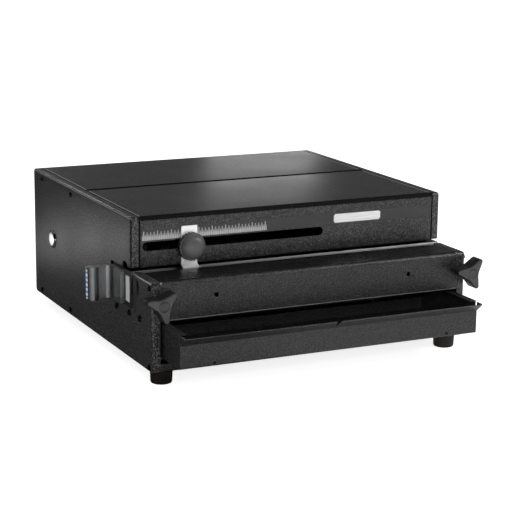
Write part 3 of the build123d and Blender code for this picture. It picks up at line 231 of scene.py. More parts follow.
class MaterialNodes(NodeTools):
    """The nodes of one material, all of them on Object coordinates."""

    def __init__(self, name: str) -> None:
        """Starts the material with its shader and its coordinates.

        Args:
            name: Name of the material.
        """
        self.material = bpy.data.materials.new(name)
        self.material.use_nodes = True
        tree = self.material.node_tree
        super().__init__(tree, tree.nodes["Principled BSDF"])
        self.place = self.add("ShaderNodeTexCoord").outputs["Object"]

    def coords(self, size: Size = 1.0, centre: Vector = Vector()) -> Socket:
        """Object coordinates counted in features of a given size.

        Args:
            size: Size of one feature in millimetres, the same every way or along x, y and z.
            centre: Point the pattern starts from, in metres.

        Returns:
            The socket with the mapped coordinates.
        """
        lengths = (size,) * 3 if isinstance(size, float) else size
        node = self.add("ShaderNodeMapping", vector_type="TEXTURE")
        self.feed(node.inputs["Vector"], self.place)
        node.inputs["Location"].default_value = centre
        node.inputs["Scale"].default_value = [length * MM for length in lengths]
        return node.outputs["Vector"]

    def axes(self, centre: Vector = Vector(), size: float = 1.0) -> bpy.types.NodeOutputs:
        """The distances from a point along each axis.

        Args:
            centre: The point, in metres.
            size: Length that the distances are counted in, in millimetres.

        Returns:
            The sockets, named X, Y and Z.
        """
        split = self.add("ShaderNodeSeparateXYZ")
        self.feed(split.inputs[0], self.coords(size, centre))
        return split.outputs

    def distance(
        self, centre: Vector, size: float = 1.0, axes: Sequence[float] = (1.0, 1.0, 1.0)
    ) -> Socket:
        """The distance from a point, or from an axis through it.

        Args:
            centre: The point, in metres.
            size: Length that the distance is counted in, in millimetres.
            axes: 1 for each axis that counts and 0 for one that doesn't.

        Returns:
            The socket with the distance.
        """
        counted = self.add("ShaderNodeVectorMath", operation="MULTIPLY")
        self.feed(counted.inputs[0], self.coords(size, centre))
        counted.inputs[1].default_value = axes
        length = self.add("ShaderNodeVectorMath", operation="LENGTH")
        self.feed(length.inputs[0], counted.outputs["Vector"])
        return length.outputs["Value"]

    def noise(self, size: Size, detail: float = 2.0, rough: float = 0.5) -> Socket:
        """A cloudy pattern with features of a given size.

        Args:
            size: Size of one feature in millimetres, the same every way or along x, y and z.
            detail: How many finer octaves are added.
            rough: How strong each finer octave is.

        Returns:
            The socket with the pattern, about 0.3 to 0.7.
        """
        node = self.add("ShaderNodeTexNoise")
        self.feed(node.inputs["Vector"], self.coords(size))
        node.inputs["Scale"].default_value = 1.0
        node.inputs["Detail"].default_value = detail
        node.inputs["Roughness"].default_value = rough
        return node.outputs["Fac"]

    def within(self, value: Socket, low: float, high: float, soft: float = 0.05) -> Socket:
        """A mask that is 1 where a value lies between two limits.

        Args:
            value: The value to test.
            low: Lower limit.
            high: Upper limit.
            soft: Width of the blurred edge.

        Returns:
            The socket with the mask.
        """
        rise = self.levels(value, 0.0, 1.0, low - soft, low + soft)
        fall = self.levels(value, 1.0, 0.0, high - soft, high + soft)
        return self.math("MULTIPLY", rise, fall)

    def blend(self, share: Number, first: object, second: object) -> Socket:
        """Mixes two colours.

        Args:
            share: Share of the second colour.
            first: The colour at share 0, a socket or a plain colour.
            second: The colour at share 1, a socket or a plain colour.

        Returns:
            The socket with the mixed colour.
        """
        node = self.add("ShaderNodeMix", data_type="RGBA")
        self.feed(node.inputs["Factor"], share)
        for number, colour in ((MIX_FIRST, first), (MIX_SECOND, second)):
            plain = not isinstance(colour, bpy.types.NodeSocket)
            self.feed(node.inputs[number], (*colour, 1.0) if plain else colour)
        return node.outputs[MIX_RESULT]

    def soft_edge(self, radius: float) -> Socket:
        """Normals with every edge rounded.

        Args:
            radius: Radius of the rounding, in millimetres.

        Returns:
            The socket with the rounded normals.
        """
        node = self.add("ShaderNodeBevel", samples=BEVEL_SAMPLES)
        node.inputs["Radius"].default_value = radius * MM
        return node.outputs["Normal"]

    def edge_mask(self, rounded: Socket) -> Socket:
        """A mask along the edges, from how far the rounded normals lean off the true ones.

        Args:
            rounded: The rounded normals.

        Returns:
            The socket with the mask.
        """
        node = self.add("ShaderNodeVectorMath", operation="DOT_PRODUCT")
        self.feed(node.inputs[0], rounded)
        self.feed(node.inputs[1], self.add("ShaderNodeNewGeometry").outputs["Normal"])
        return self.levels(node.outputs["Value"], 1.0, 0.0, *EDGE_LEAN)

    def bump(self, height: Number, relief: float, normal: Optional[Socket] = None) -> Socket:
        """Normals bent by a height pattern.

        Args:
            height: The pattern, 0 to 1.
            relief: Height of the pattern in millimetres, below zero where it is sunk.
            normal: Normals to start from.

        Returns:
            The socket with the bent normals.
        """
        node = self.add("ShaderNodeBump")
        self.feed(node.inputs["Height"], height)
        node.inputs["Distance"].default_value = relief * MM
        if normal is not None:
            self.feed(node.inputs["Normal"], normal)
        return node.outputs["Normal"]


@dataclass(frozen=True)
class Finish:
    """A surface finish that paints the nodes of one material.

    Attributes:
        name: Name of the material.
        colour: Linear colour of the clean surface.
        roughness: Roughness of its smoothest and of its dullest places.
    """

    name: str
    colour: Colour
    roughness: Span

    def paint(self, graph: MaterialNodes) -> None:
        """Lays the finish on a material's nodes."""
        raise NotImplementedError

    def shade(self, factor: float) -> Colour:
        """The finish's colour, made lighter or darker."""
        return tuple(min(1.0, part * factor) for part in self.colour)


@lru_cache(maxsize=None)
def material_of(finish: Finish) -> bpy.types.Material:
    """Builds a finish's material the first time it is asked for.

    Args:
        finish: The finish.

    Returns:
        Its material.
    """
    graph = MaterialNodes(finish.name)
    finish.paint(graph)
    return graph.material


@dataclass(frozen=True)
class PowderCoat(Finish):
    """Baked powder paint with an orange-peel grain.

    Attributes:
        grain: Size of one bump of the grain, in millimetres.
        relief: Height of the grain, in millimetres.
        fine: Size of the fine speckle on it, in millimetres.
        cloud: Size of the broad patches of gloss, in millimetres.
        edge: Radius of the rounded, lightened edges, in millimetres.
        wear: How much lighter the edges are painted, for wear and as painted highlights.
        speckle: How much lighter the tops of the grain are painted, a painted sparkle.
        pit: How dark the pits of the grain are painted, as painted shade.
        tops: Levels of the fine pattern where the tops start and are full.
        pits: Levels of the fine pattern where the pits are full and end.
        fine_share: How much the fine speckle adds to the grain's height.
        tones: How dark and how light the broad patches are.
        least_wear: What is left of the lightened edges in the dullest patches.
    """

    grain: float = 2.3
    relief: float = 0.7
    fine: float = 1.6
    cloud: float = 90.0
    edge: float = 0.7
    wear: float = 3.2
    speckle: float = 3.8
    pit: float = 0.25
    tops: Span = (0.5, 0.68)
    pits: Span = (0.34, 0.48)
    fine_share: float = 0.35
    tones: Span = (0.85, 1.2)
    least_wear: float = 0.25

    def paint(self, graph: MaterialNodes) -> None:
        """Lays the coat on a material's nodes.

        Args:
            graph: The material's nodes.
        """
        grain = graph.noise(self.grain, detail=1.5)
        fine = graph.noise(self.fine, detail=1.0)
        cloud = graph.noise(self.cloud, detail=3.0)
        height = graph.math("MULTIPLY_ADD", fine, self.fine_share, grain)
        rounded = graph.soft_edge(self.edge)
        tone = graph.blend(graph.levels(cloud, 0.0, 1.0), *map(self.shade, self.tones))
        # Painted light on the grain: its tops lighter and its pits darker.
        tone = graph.blend(graph.levels(fine, 0.0, 1.0, *self.tops), tone, self.shade(self.speckle))
        tone = graph.blend(graph.levels(fine, 1.0, 0.0, *self.pits), tone, self.shade(self.pit))
        # Edges painted lighter, for wear and as painted highlights along the bends.
        kept = graph.levels(cloud, self.least_wear, 1.0)
        worn_and_highlit_edges = graph.math("MULTIPLY", graph.edge_mask(rounded), kept)
        graph.lay(
            base_color=graph.blend(worn_and_highlit_edges, tone, self.shade(self.wear)),
            roughness=graph.levels(cloud, *self.roughness),
            normal=graph.bump(height, self.relief, rounded),
        )


@dataclass(frozen=True)
class Mark:
    """A block of the coat along a joint or edge: painted shade if dark, a painted highlight if
    pale.

    Attributes:
        low: Lower corner in datum millimetres, with x taken without its sign.
        high: Upper corner in datum millimetres.
        tone: Brightness as a factor of the coat: painted shade below 1, a painted highlight above.
    """

    low: tuple[float, float, float]
    high: tuple[float, float, float]
    tone: float


@dataclass(frozen=True)
class MarkedCoat(PowderCoat):
    """The same coat, with painted shade at seams and dark bends and painted highlights on bright
    bends.

    Attributes:
        marks: The painted shade and highlights along the seams and edges.
        step: Depths where the shaded step of the top seam starts and ends, in millimetres.
        blur: Width of the blurred edge of a mark, in millimetres.
        gap_roughness: Roughness inside a dark mark.
        gap_depth: How deep a dark mark is sunk, in millimetres.
        step_height: Height of the shaded step, in millimetres.
        step_blur: Width of the blurred edges of that step, in millimetres.
    """

    marks: tuple[Mark, ...] = ()
    step: Span = (0.0, 0.0)
    blur: float = 0.35
    gap_roughness: float = 0.95
    gap_depth: float = 2.0
    step_height: float = 3.4
    step_blur: float = 0.2

    def paint(self, graph: MaterialNodes) -> None:
        """Lays the coat, then its marks.

        Args:
            graph: The material's nodes.
        """
        super().paint(graph)
        axes = graph.axes(DATUM.point(0.0, 0.0, 0.0))
        depth = axes["Y"]
        place = (graph.math("ABSOLUTE", axes["X"]), depth, axes["Z"])
        tone = graph.laid("Base Color")
        dull = graph.laid("Roughness")
        shade_marks: Number = 0.0
        for mark in self.marks:
            mask: Number = 1.0
            for value, low, high in zip(place, mark.low, mark.high):
                mask = graph.math("MULTIPLY", mask, graph.within(value, low, high, self.blur))
            # Painted light: a tone below 1 paints shade, a tone above 1 paints a highlight.
            tone = graph.blend(mask, tone, self.shade(mark.tone))
            if mark.tone < 1.0:
                dull = graph.math("MAXIMUM", dull, graph.math("MULTIPLY", mask, self.gap_roughness))
                shade_marks = graph.math("MAXIMUM", shade_marks, mask)
        normal = graph.bump(shade_marks, -self.gap_depth, graph.laid("Normal"))
        start, end = self.step
        if end > start:
            rise = graph.levels(depth, 0.0, 1.0, start, end)
            inside = graph.within(depth, start - 1.0, end, self.step_blur)
            normal = graph.bump(graph.math("MULTIPLY", rise, inside), self.step_height, normal)
        graph.lay(base_color=tone, roughness=dull, normal=normal)


@dataclass(frozen=True)
class ShelfCoat(MarkedCoat):
    """The same coat, rubbed smooth on the shelf by the paper that slides over it.

    Attributes:
        shelf: Height above which the coat is smooth, in millimetres.
        polish: Roughness of the shelf where it is rubbed most.
        scuffed: How much rougher its scuffed streaks are.
        scuff: Size of the streaks along x, y and z, in millimetres.
        calm: What is left of the relief on the shelf.
        dark: How much darker the coat is above the shelf height.
        fade: Half the height over which the coat turns smooth, in millimetres.
    """

    shelf: float = 133.4
    polish: float = 0.16
    scuffed: float = 0.14
    scuff: tuple[float, float, float] = (60.0, 5.0, 60.0)
    calm: float = 0.12
    dark: float = 0.35
    fade: float = 0.3

    def paint(self, graph: MaterialNodes) -> None:
        """Lays the coat, then polishes and darkens what lies above the shelf height.

        Args:
            graph: The material's nodes.
        """
        super().paint(graph)
        limits = (self.shelf - self.fade, self.shelf + self.fade)
        above = graph.levels(graph.axes()["Z"], 0.0, 1.0, *limits)
        scuffs = graph.noise(self.scuff, detail=3.0)
        streaks = graph.levels(scuffs, self.polish, self.polish + self.scuffed)
        relief = graph.laid("Normal").node
        graph.feed(relief.inputs["Strength"], graph.levels(above, 1.0, self.calm, 0.0, 1.0))
        graph.lay(
            roughness=graph.between(above, graph.laid("Roughness"), streaks),
            base_color=graph.blend(above, graph.laid("Base Color"), self.shade(self.dark)),
        )


@dataclass(frozen=True)
class Metal(Finish):
    """Bare, ground, turned or plated metal.

    Attributes:
        streak: Size of the machining marks along x, y and z, in millimetres.
        relief: Depth of the marks, in millimetres.
        stain: How dark the dull patches are.
        patch: Size of the dull patches, in millimetres.
        edge: Radius of the broken edges, in millimetres.
        metallic: How metallic it is; lower where the metal is bead-blasted and dull.
        stained: Levels of the patches where the stain starts and is full.
        mark_tone: How strongly the marks show.
        gleam: How much lighter than the stain the marks are.
        mark_share: Share of the span of roughness that the marks add at most.
        patch_share: Share of that span that the patches add at most.
    """

    streak: tuple[float, float, float] = (30.0, 0.4, 0.4)
    relief: float = 0.01
    stain: float = 0.75
    patch: float = 18.0
    edge: float = 0.4
    metallic: float = 1.0
    stained: Span = (0.35, 0.75)
    mark_tone: float = 0.5
    gleam: float = 1.35
    mark_share: float = 0.6
    patch_share: float = 0.4

    def paint(self, graph: MaterialNodes) -> None:
        """Lays the metal on a material's nodes.

        Args:
            graph: The material's nodes.
        """
        marks = graph.noise(self.streak, detail=3.0, rough=0.6)
        patch = graph.noise(self.patch, detail=4.0)
        rounded = graph.soft_edge(self.edge)
        dirt = graph.levels(patch, 0.0, 1.0, *self.stained)
        tone = graph.blend(dirt, self.colour, self.shade(self.stain))
        lines = graph.levels(marks, 0.0, self.mark_tone)
        tone = graph.blend(lines, tone, self.shade(self.stain * self.gleam))
        low, high = self.roughness
        scored = graph.levels(marks, 0.0, high - low)
        cloudy = graph.levels(patch, low, low + (high - low) * self.patch_share)
        graph.lay(
            metallic=self.metallic,
            base_color=tone,
            roughness=graph.math("MULTIPLY_ADD", scored, self.mark_share, cloudy),
            normal=graph.bump(marks, self.relief, rounded),
        )


@dataclass(frozen=True)
class Plastic(Finish):
    """Moulded plastic or rubber with a fine eroded grain.

    Attributes:
        grain: Size of the grain, in millimetres.
        relief: Depth of the grain, in millimetres.
        patch: Size of the patches of gloss and dust, in millimetres.
        edge: Radius of the moulded edges, in millimetres.
        dust: How much lighter the dusty patches are.
        wear: How much lighter the edges are painted, for wear and as painted highlights.
        clean: How dark the clean patches are.
        worn_share: How strongly the lightened edges show.
    """

    grain: float = 0.6
    relief: float = 0.02
    patch: float = 14.0
    edge: float = 0.5
    dust: float = 1.6
    wear: float = 2.4
    clean: float = 0.85
    worn_share: float = 0.6

    def paint(self, graph: MaterialNodes) -> None:
        """Lays the plastic on a material's nodes.

        Args:
            graph: The material's nodes.
        """
        grain = graph.noise(self.grain)
        patch = graph.noise(self.patch, detail=4.0)
        rounded = graph.soft_edge(self.edge)
        dusty = graph.levels(patch, 0.0, 1.0)
        tone = graph.blend(dusty, self.shade(self.clean), self.shade(self.dust))
        # Edges painted lighter, for wear and as painted highlights along them.
        worn = graph.math("MULTIPLY", graph.edge_mask(rounded), self.worn_share)
        graph.lay(
            base_color=graph.blend(worn, tone, self.shade(self.wear)),
            roughness=graph.levels(patch, *self.roughness),
            normal=graph.bump(grain, self.relief, rounded),
        )


@dataclass(frozen=True)
class FrontLitPlastic(Plastic):
    """Moulded plastic: its face painted paler as painted light, its sides darker as painted shade.

    Attributes:
        front: Depth of the front face, in metres.
        blur: Depth over which the pale face fades, in millimetres.
        side: How dark the sides are painted, as painted shade.
        fade_start: Share of the blur where the face starts to fade.
    """

    front: float = 0.0
    blur: float = 1.2
    side: float = 0.3
    fade_start: float = 0.15

    def paint(self, graph: MaterialNodes) -> None:
        """Lays the plastic, then paints shade on what lies behind the face.

        Args:
            graph: The material's nodes.
        """
        super().paint(graph)
        depth = graph.axes(Vector((0.0, self.front, 0.0)))["Y"]
        # Painted shade: what lies behind the face is darker.
        behind = graph.levels(depth, 0.0, 1.0, self.fade_start * self.blur, self.blur)
        graph.lay(base_color=graph.blend(behind, graph.laid("Base Color"), self.shade(self.side)))


@dataclass(frozen=True)
class KnobCap(Plastic):
    """The turned disc in the middle of a star knob, with fine rings round its axis.

    Attributes:
        centre: A point on the axis of the disc, in metres.
        pitch: Distance between two rings, in millimetres.
        ring_depth: Depth of the rings, in millimetres.
    """

    centre: tuple[float, float, float] = (0.0, 0.0, 0.0)
    pitch: float = 0.55
    ring_depth: float = 0.012

    def paint(self, graph: MaterialNodes) -> None:
        """Lays the disc's rings over the plastic.

        Args:
            graph: The material's nodes.
        """
        super().paint(graph)
        out = graph.distance(Vector(self.centre), axes=(1.0, 0.0, 1.0))
        wave = graph.math("SINE", graph.math("MULTIPLY", out, FULL_TURN / self.pitch))
        graph.lay(normal=graph.bump(wave, self.ring_depth))


@dataclass(frozen=True)
class TickRow:
    """One row of ruler ticks.

    Attributes:
        pitch: Distance between two ticks, in millimetres.
        share: Share of the pitch that a tick covers.
        low: Foot of the ticks, in millimetres.
        high: Top of the ticks, in millimetres.
        light: How pale the ticks are.
        blur: Width of the blurred foot and top, in millimetres.
    """

    pitch: float
    share: float
    low: float
    high: float
    light: float
    blur: float = 0.2

    def mask(self, graph: MaterialNodes, along: Socket, up: Socket) -> Socket:
        """Masks the ticks.

        Args:
            graph: The material's nodes.
            along: Distance along the strip, in millimetres.
            up: Distance up the strip, in millimetres.

        Returns:
            The socket with the mask.
        """
        phase = graph.math("FRACT", graph.math("DIVIDE", along, self.pitch))
        half = self.share / 2
        tick = graph.within(phase, 0.5 - half, 0.5 + half, self.share / 5)
        return graph.math("MULTIPLY", tick, graph.within(up, self.low, self.high, self.blur))


# The unit of the ruler's ticks, in millimetres.
TICK = 1.5875


@dataclass(frozen=True)
class RulerFilm(Finish):
    """The dark film of the strip, with the ruler's ticks on its left part.

    Attributes:
        corner: Lower left corner of the strip, in metres.
        ink: Linear colour of the ticks.
        fine: The fine row on the pale band.
        short: The short ticks above the band.
        long: The long ticks among them.
        long_shift: How far the long ticks are shifted, so that they meet short ones.
        ticks: Distances from the corner to where the ruler starts and ends, in millimetres.
        band: Foot and top of the pale band, in millimetres.
        band_fade: Heights between which the band grows darker, in millimetres.
        band_dark: What is left of the band's brightness at its top.
        band_light: How pale the band is between its ticks.
        wear: Size of the worn patches of the ticks, in millimetres.
        least_ink: What is left of the ticks in the patches that are worn most.
        grain: Size and height of the film's grain, in millimetres.
        blur: Width of the blurred edges of the band and of the ruler's ends, in millimetres.
    """

    corner: tuple[float, float, float] = (0.0, 0.0, 0.0)
    ink: Colour = (0.62, 0.62, 0.62)
    fine: TickRow = TickRow(2 * TICK, 0.5, -1.0, 6.5, 0.28)
    short: TickRow = TickRow(3 * TICK, 0.3, 6.0, 10.6, 0.5)
    long: TickRow = TickRow(12 * TICK, 0.07, 6.0, 12.0, 0.6)
    long_shift: float = 4.5 * TICK
    ticks: Span = (-0.5, 176.0)
    band: Span = (-2.0, 8.0)
    band_fade: Span = (3.8, 7.2)
    band_dark: float = 0.42
    band_light: float = 0.5
    wear: float = 9.0
    least_ink: float = 0.7
    grain: Span = (1.6, 0.02)
    blur: Span = (0.4, 0.3)

    def paint(self, graph: MaterialNodes) -> None:
        """Lays the film and its ticks on a material's nodes.

        Args:
            graph: The material's nodes.
        """
        axes = graph.axes(Vector(self.corner))
        along, up = axes["X"], axes["Z"]
        band_blur, end_blur = self.blur
        ground = graph.levels(up, 1.0, self.band_dark, *self.band_fade)
        ground = graph.math("MULTIPLY", ground, graph.within(up, *self.band, band_blur))
        fine = self.fine.mask(graph, along, up)
        fine = graph.math("MULTIPLY_ADD", fine, self.fine.light, self.band_light)
        band = graph.math("MULTIPLY", ground, fine)
        short = graph.math("MULTIPLY", self.short.mask(graph, along, up), self.short.light)
        shifted = graph.math("ADD", along, self.long_shift)
        long = graph.math("MULTIPLY", self.long.mask(graph, shifted, up), self.long.light)
        marks = graph.math("MAXIMUM", band, graph.math("MAXIMUM", short, long))
        marks = graph.math("MULTIPLY", marks, graph.within(along, *self.ticks, end_blur))
        worn = graph.noise(self.wear, detail=4.0)
        marks = graph.math("MULTIPLY", marks, graph.levels(worn, self.least_ink, 1.0))
        grain, relief = self.grain
        graph.lay(
            base_color=graph.blend(marks, self.colour, self.ink),
            roughness=graph.levels(worn, *self.roughness),
            normal=graph.bump(graph.noise(grain), relief),
        )


@dataclass(frozen=True)
class BlankPlate(Finish):
    """The plain plate on the strip: a bright brushed field inside a dark rim.

    Attributes:
        corner: Lower left corner of the plate, in metres.
        size: Width and height of the plate, in millimetres.
        rim: Width of the dark rim, in millimetres.
        rim_tone: How dark the rim is.
        sunk: How deep the field lies, in millimetres.
        blur: Width of the blurred inner edge of the rim, in millimetres.
        brush: Size of the brush marks along x, y and z, in millimetres.
        tones: How dark and how light the brushed field is.
        edge: Radius of the plate's edges, in millimetres.
        metallic: How metallic the plate is.
    """

    corner: tuple[float, float, float] = (0.0, 0.0, 0.0)
    size: Span = (73.4, 14.0)
    rim: float = 1.1
    rim_tone: float = 0.12
    sunk: float = 0.12
    blur: float = 0.2
    brush: tuple[float, float, float] = (40.0, 0.5, 0.5)
    tones: Span = (0.8, 1.25)
    edge: float = 0.4
    metallic: float = 0.6

    def paint(self, graph: MaterialNodes) -> None:
        """Lays the plate on a material's nodes.

        Args:
            graph: The material's nodes.
        """
        axes = graph.axes(Vector(self.corner))
        width, height = self.size
        inside = graph.math(
            "MULTIPLY",
            graph.within(axes["X"], self.rim, width - self.rim, self.blur),
            graph.within(axes["Z"], self.rim, height - self.rim, self.blur),
        )
        brush = graph.noise(self.brush, detail=3.0)
        bright = graph.blend(graph.levels(brush, 0.0, 1.0), *map(self.shade, self.tones))
        graph.lay(
            metallic=self.metallic,
            base_color=graph.blend(inside, self.shade(self.rim_tone), bright),
            roughness=graph.levels(brush, *self.roughness),
            normal=graph.bump(inside, -self.sunk, graph.soft_edge(self.edge)),
        )


@dataclass(frozen=True)
class CircuitBoard(Finish):
    """Green lacquer over copper tracks, with a plain laminate grain.

    Attributes:
        scale: How many tracks go on one millimetre.
        gap: Width of the gaps between the tracks, as the texture counts it.
        tones: Brightness of the two kinds of track and of the gaps.
        weave: Size of the laminate's grain, in millimetres.
        sunk: How deep the gaps lie, in millimetres.
    """

    scale: float = 0.35
    gap: float = 0.12
    tones: tuple[float, float, float] = (1.0, 0.8, 1.7)
    weave: float = 0.8
    sunk: float = 0.05

    def paint(self, graph: MaterialNodes) -> None:
        """Lays the lacquer and its tracks on a material's nodes.

        Args:
            graph: The material's nodes.
        """
        tracks = graph.add("ShaderNodeTexBrick")
        graph.feed(tracks.inputs["Vector"], graph.coords())
        tracks.inputs["Scale"].default_value = self.scale
        tracks.inputs["Mortar Size"].default_value = self.gap
        for name, factor in zip(("Color1", "Color2", "Mortar"), self.tones):
            tracks.inputs[name].default_value = (*self.shade(factor), 1.0)
        graph.lay(
            base_color=tracks.outputs["Color"],
            roughness=graph.levels(graph.noise(self.weave), *self.roughness),
            normal=graph.bump(tracks.outputs["Fac"], -self.sunk),
        )


@dataclass(frozen=True)
class LabelledMetal(Metal):
    """A metal that carries a plain film with bands.

    Attributes:
        low: Lower corner of the film's block, in metres.
        high: Upper corner of the film's block, in metres.
        film: Linear colour of the film.
        band: Linear colour of the bands on it.
        bands: Heights where the bands start and end, as shares of the film's height.
        lit_top: Height above which the top is painted pale, a painted highlight, in metres.
        top_light: Linear colour of that painted highlight.
        lit_top_roughness: Roughness of the top above that height.
        film_blur: Width of the blurred edges of the film, in millimetres.
        band_blur: Width of the blurred edges of the bands and of the painted top, in millimetres.
    """

    low: tuple[float, float, float] = (0.0, 0.0, 0.0)
    high: tuple[float, float, float] = (0.0, 0.0, 0.0)
    film: Colour = (0.6, 0.6, 0.6)
    band: Colour = (0.05, 0.12, 0.4)
    bands: tuple[Span, ...] = ()
    lit_top: float = 1.0
    top_light: Colour = (0.85, 0.85, 0.85)
    lit_top_roughness: float = 0.6
    film_blur: float = 0.15
    band_blur: float = 0.2

    def paint(self, graph: MaterialNodes) -> None:
        """Lays the metal with a painted highlight on its top, then the film inside its block.

        Args:
            graph: The material's nodes.
        """
        super().paint(graph)
        axes = graph.axes(size=METRE)
        film_blur, blur = self.film_blur * MM, self.band_blur * MM
        mask: Number = 1.0
        for axis, low, high in zip("XYZ", self.low, self.high):
            mask = graph.math("MULTIPLY", mask, graph.within(axes[axis], low, high, film_blur))
        film: object = self.film
        foot = self.low[2]
        span = self.high[2] - foot
        for start, end in self.bands:
            printed = graph.within(axes["Z"], foot + start * span, foot + end * span, blur)
            film = graph.blend(printed, film, self.band)
        # Painted highlight: the top face painted pale, where light from above falls.
        top_light = graph.levels(axes["Z"], 0.0, 1.0, self.lit_top - blur, self.lit_top)
        bare = graph.blend(top_light, graph.laid("Base Color"), self.top_light)
        dull = graph.math("MULTIPLY", top_light, self.lit_top_roughness)
        graph.lay(
            base_color=graph.blend(mask, bare, film),
            roughness=graph.math("MAXIMUM", graph.laid("Roughness"), dull),
            metallic=graph.levels(mask, 1.0, 0.0, 0.0, 1.0),
        )


@dataclass(frozen=True)
class Ring:
    """One cross-section of a lofted body.

    Attributes:
        height: Place along the axis, in millimetres.
        radius: Radius in millimetres, from the angle round the axis.
    """

    height: float
    radius: Radius


def round_ring(height: float, radius: float) -> Ring:
    """A circular cross-section."""
    return Ring(height, lambda angle: radius)


def loft(rings: Sequence[Ring], segments: int) -> bmesh.types.BMesh:
    """Draws a closed body through cross-sections, starting from a circle and extruding its edge.

    Args:
        rings: The cross-sections, from the rear of the body to its front.
        segments: How many corners each cross-section has.

    Returns:
        The mesh, along +z, in millimetres.
    """
    mesh = bmesh.new()
    bmesh.ops.create_circle(mesh, cap_ends=True, segments=segments, radius=1.0)
    corners = mesh.verts[:]
    edges = mesh.edges[:]
    for number, ring in enumerate(rings):
        if number:
            grown = bmesh.ops.extrude_edge_only(mesh, edges=edges)["geom"]
            corners = [part for part in grown if isinstance(part, bmesh.types.BMVert)]
            fresh = set(corners)
            lines = [part for part in grown if isinstance(part, bmesh.types.BMEdge)]
            edges = [line for line in lines if fresh.issuperset(line.verts)]
        for corner in corners:
            angle = math.atan2(corner.co.y, corner.co.x)
            radius = ring.radius(angle)
            corner.co = (radius * math.cos(angle), radius * math.sin(angle), ring.height)
    bmesh.ops.contextual_create(mesh, geom=edges)
    return mesh


def turned(profile: Sequence[Span], segments: int) -> bmesh.types.BMesh:
    """Spins a profile into a closed body.

    Args:
        profile: Radius and height of each point in millimetres, both ends on the axis.
        segments: How many steps the full turn has.

    Returns:
        The mesh, along +z, in millimetres.
    """
    mesh = bmesh.new()
    corners = [mesh.verts.new((radius, 0.0, height)) for radius, height in profile]
    edges = [mesh.edges.new(pair) for pair in zip(corners, corners[1:])]
    bmesh.ops.spin(
        mesh, geom=corners + edges, cent=(0, 0, 0), axis=(0, 0, 1), angle=FULL_TURN,
        steps=segments, use_merge=True,
    )
    bmesh.ops.remove_doubles(mesh, verts=mesh.verts, dist=PROFILE_MERGE)
    return mesh


def joined(meshes: Sequence[bmesh.types.BMesh]) -> bmesh.types.BMesh:
    """Puts several meshes into one.

    Args:
        meshes: The meshes. They are freed.

    Returns:
        The mesh of them all.
    """
    whole = bmesh.new()
    for mesh in meshes:
        data = bpy.data.meshes.new("part")
        mesh.to_mesh(data)
        mesh.free()
        whole.from_mesh(data)
        bpy.data.meshes.remove(data)
    return whole


def placed(mesh: bmesh.types.BMesh, at: Vector, facing: Facing) -> bmesh.types.BMesh:
    """Turns a mesh in millimetres to its side and moves it to its place in metres.

    Args:
        mesh: The mesh, along +z. It is changed.
        at: Where its origin goes, in metres.
        facing: Where its axis points.

    Returns:
        The same mesh.
    """
    move = Matrix.Translation(at) @ facing.value @ Matrix.Scale(MM, 4)
    bmesh.ops.transform(mesh, matrix=move, verts=mesh.verts)
    return mesh


def make_piece(
    name: str,
    mesh: bmesh.types.BMesh,
    finish: Finish,
    body: str,
    stands_for: Sequence[str] = (),
) -> bpy.types.Object:
    """Turns a mesh into a finished piece that rides on a body.

    Args:
        name: Name of the piece.
        mesh: The mesh in place, in metres. It is freed.
        finish: The finish of the piece.
        body: The body it rides on.
        stands_for: The CAD nodes it replaces.

    Returns:
        The new object.
    """
    bmesh.ops.remove_doubles(mesh, verts=mesh.verts, dist=MERGE_DISTANCE)
    bmesh.ops.recalc_face_normals(mesh, faces=mesh.faces)
    for face in mesh.faces:
        face.smooth = True
    for edge in mesh.edges:
        edge.smooth = len(edge.link_faces) == 2 and edge.calc_face_angle() < SHARP_ANGLE
    data = bpy.data.meshes.new(name)
    mesh.to_mesh(data)
    mesh.free()
    data.materials.append(material_of(finish))
    piece = bpy.data.objects.new(name, data)
    bpy.context.scene.collection.objects.link(piece)
    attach(piece, body)
    if stands_for:
        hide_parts(*stands_for)
    log.info("%s: %d faces, rides on %s", name, len(data.polygons), body)
    return piece


COAT = (0.0135, 0.0137, 0.0142)
BLACK_COAT = PowderCoat("black_coat", COAT, (0.276, 0.36))
PANEL_COAT = MarkedCoat(
    "panel_coat", COAT, (0.28, 0.34), relief=0.3, edge=0.9, wear=2.0, fine=2.1, speckle=8.0,
    marks=(
        # Painted shade along the inner edges of the flanges.
        Mark((215.6, -1.0, 134.5), (217.3, 400.0, 204.0), 0.05),
        # Painted highlight along the top bend.
        Mark((227.6, -1.0, 200.9), (229.5, 400.0, 202.0), 16.0),
        # Painted highlight along the top bend of the lower cabinet.
        Mark((227.6, -80.0, 131.4), (229.5, -1.0, 132.8), 22.0),
        # Painted shade on the front bend of the upper panel.
        Mark((227.0, -1.0, 134.5), (229.5, 1.4, 201.0), 0.05),
    ),
)
COVER_COAT = MarkedCoat(
    "cover_coat", COAT, (0.276, 0.34), relief=0.25, edge=0.9, wear=1.5, fine=1.7, speckle=4.7,
    marks=(
        # Painted shade along the cover's edge beside the flanges.
        Mark((215.3, -1.0, 134.5), (216.6, 400.0, 204.0), 0.05),
        # Painted highlight along the cover's folded side edge.
        Mark((213.6, 3.0, 202.6), (214.9, 400.0, 204.0), 26.0),
        # Painted shade over the seam between the two covers.
        Mark((0.0, 193.4, 187.0), (215.0, 204.2, 204.0), 0.03),
        # Painted shade, a dark painted reflection, along the bend at the front of the top.
        Mark((0.0, -1.0, 198.3), (215.0, 5.2, 204.0), 0.03),
    ),
    step=(193.0, 204.4),
)
DRAWER_COAT = MarkedCoat(
    "drawer_coat", COAT, (0.276, 0.36), edge=1.0, wear=8.0, speckle=3.1,
    # Painted highlight along the rim of the drawer's lip.
    marks=(Mark((0.0, -140.0, 79.0), (215.0, -127.0, 81.0), 16.0),),
)
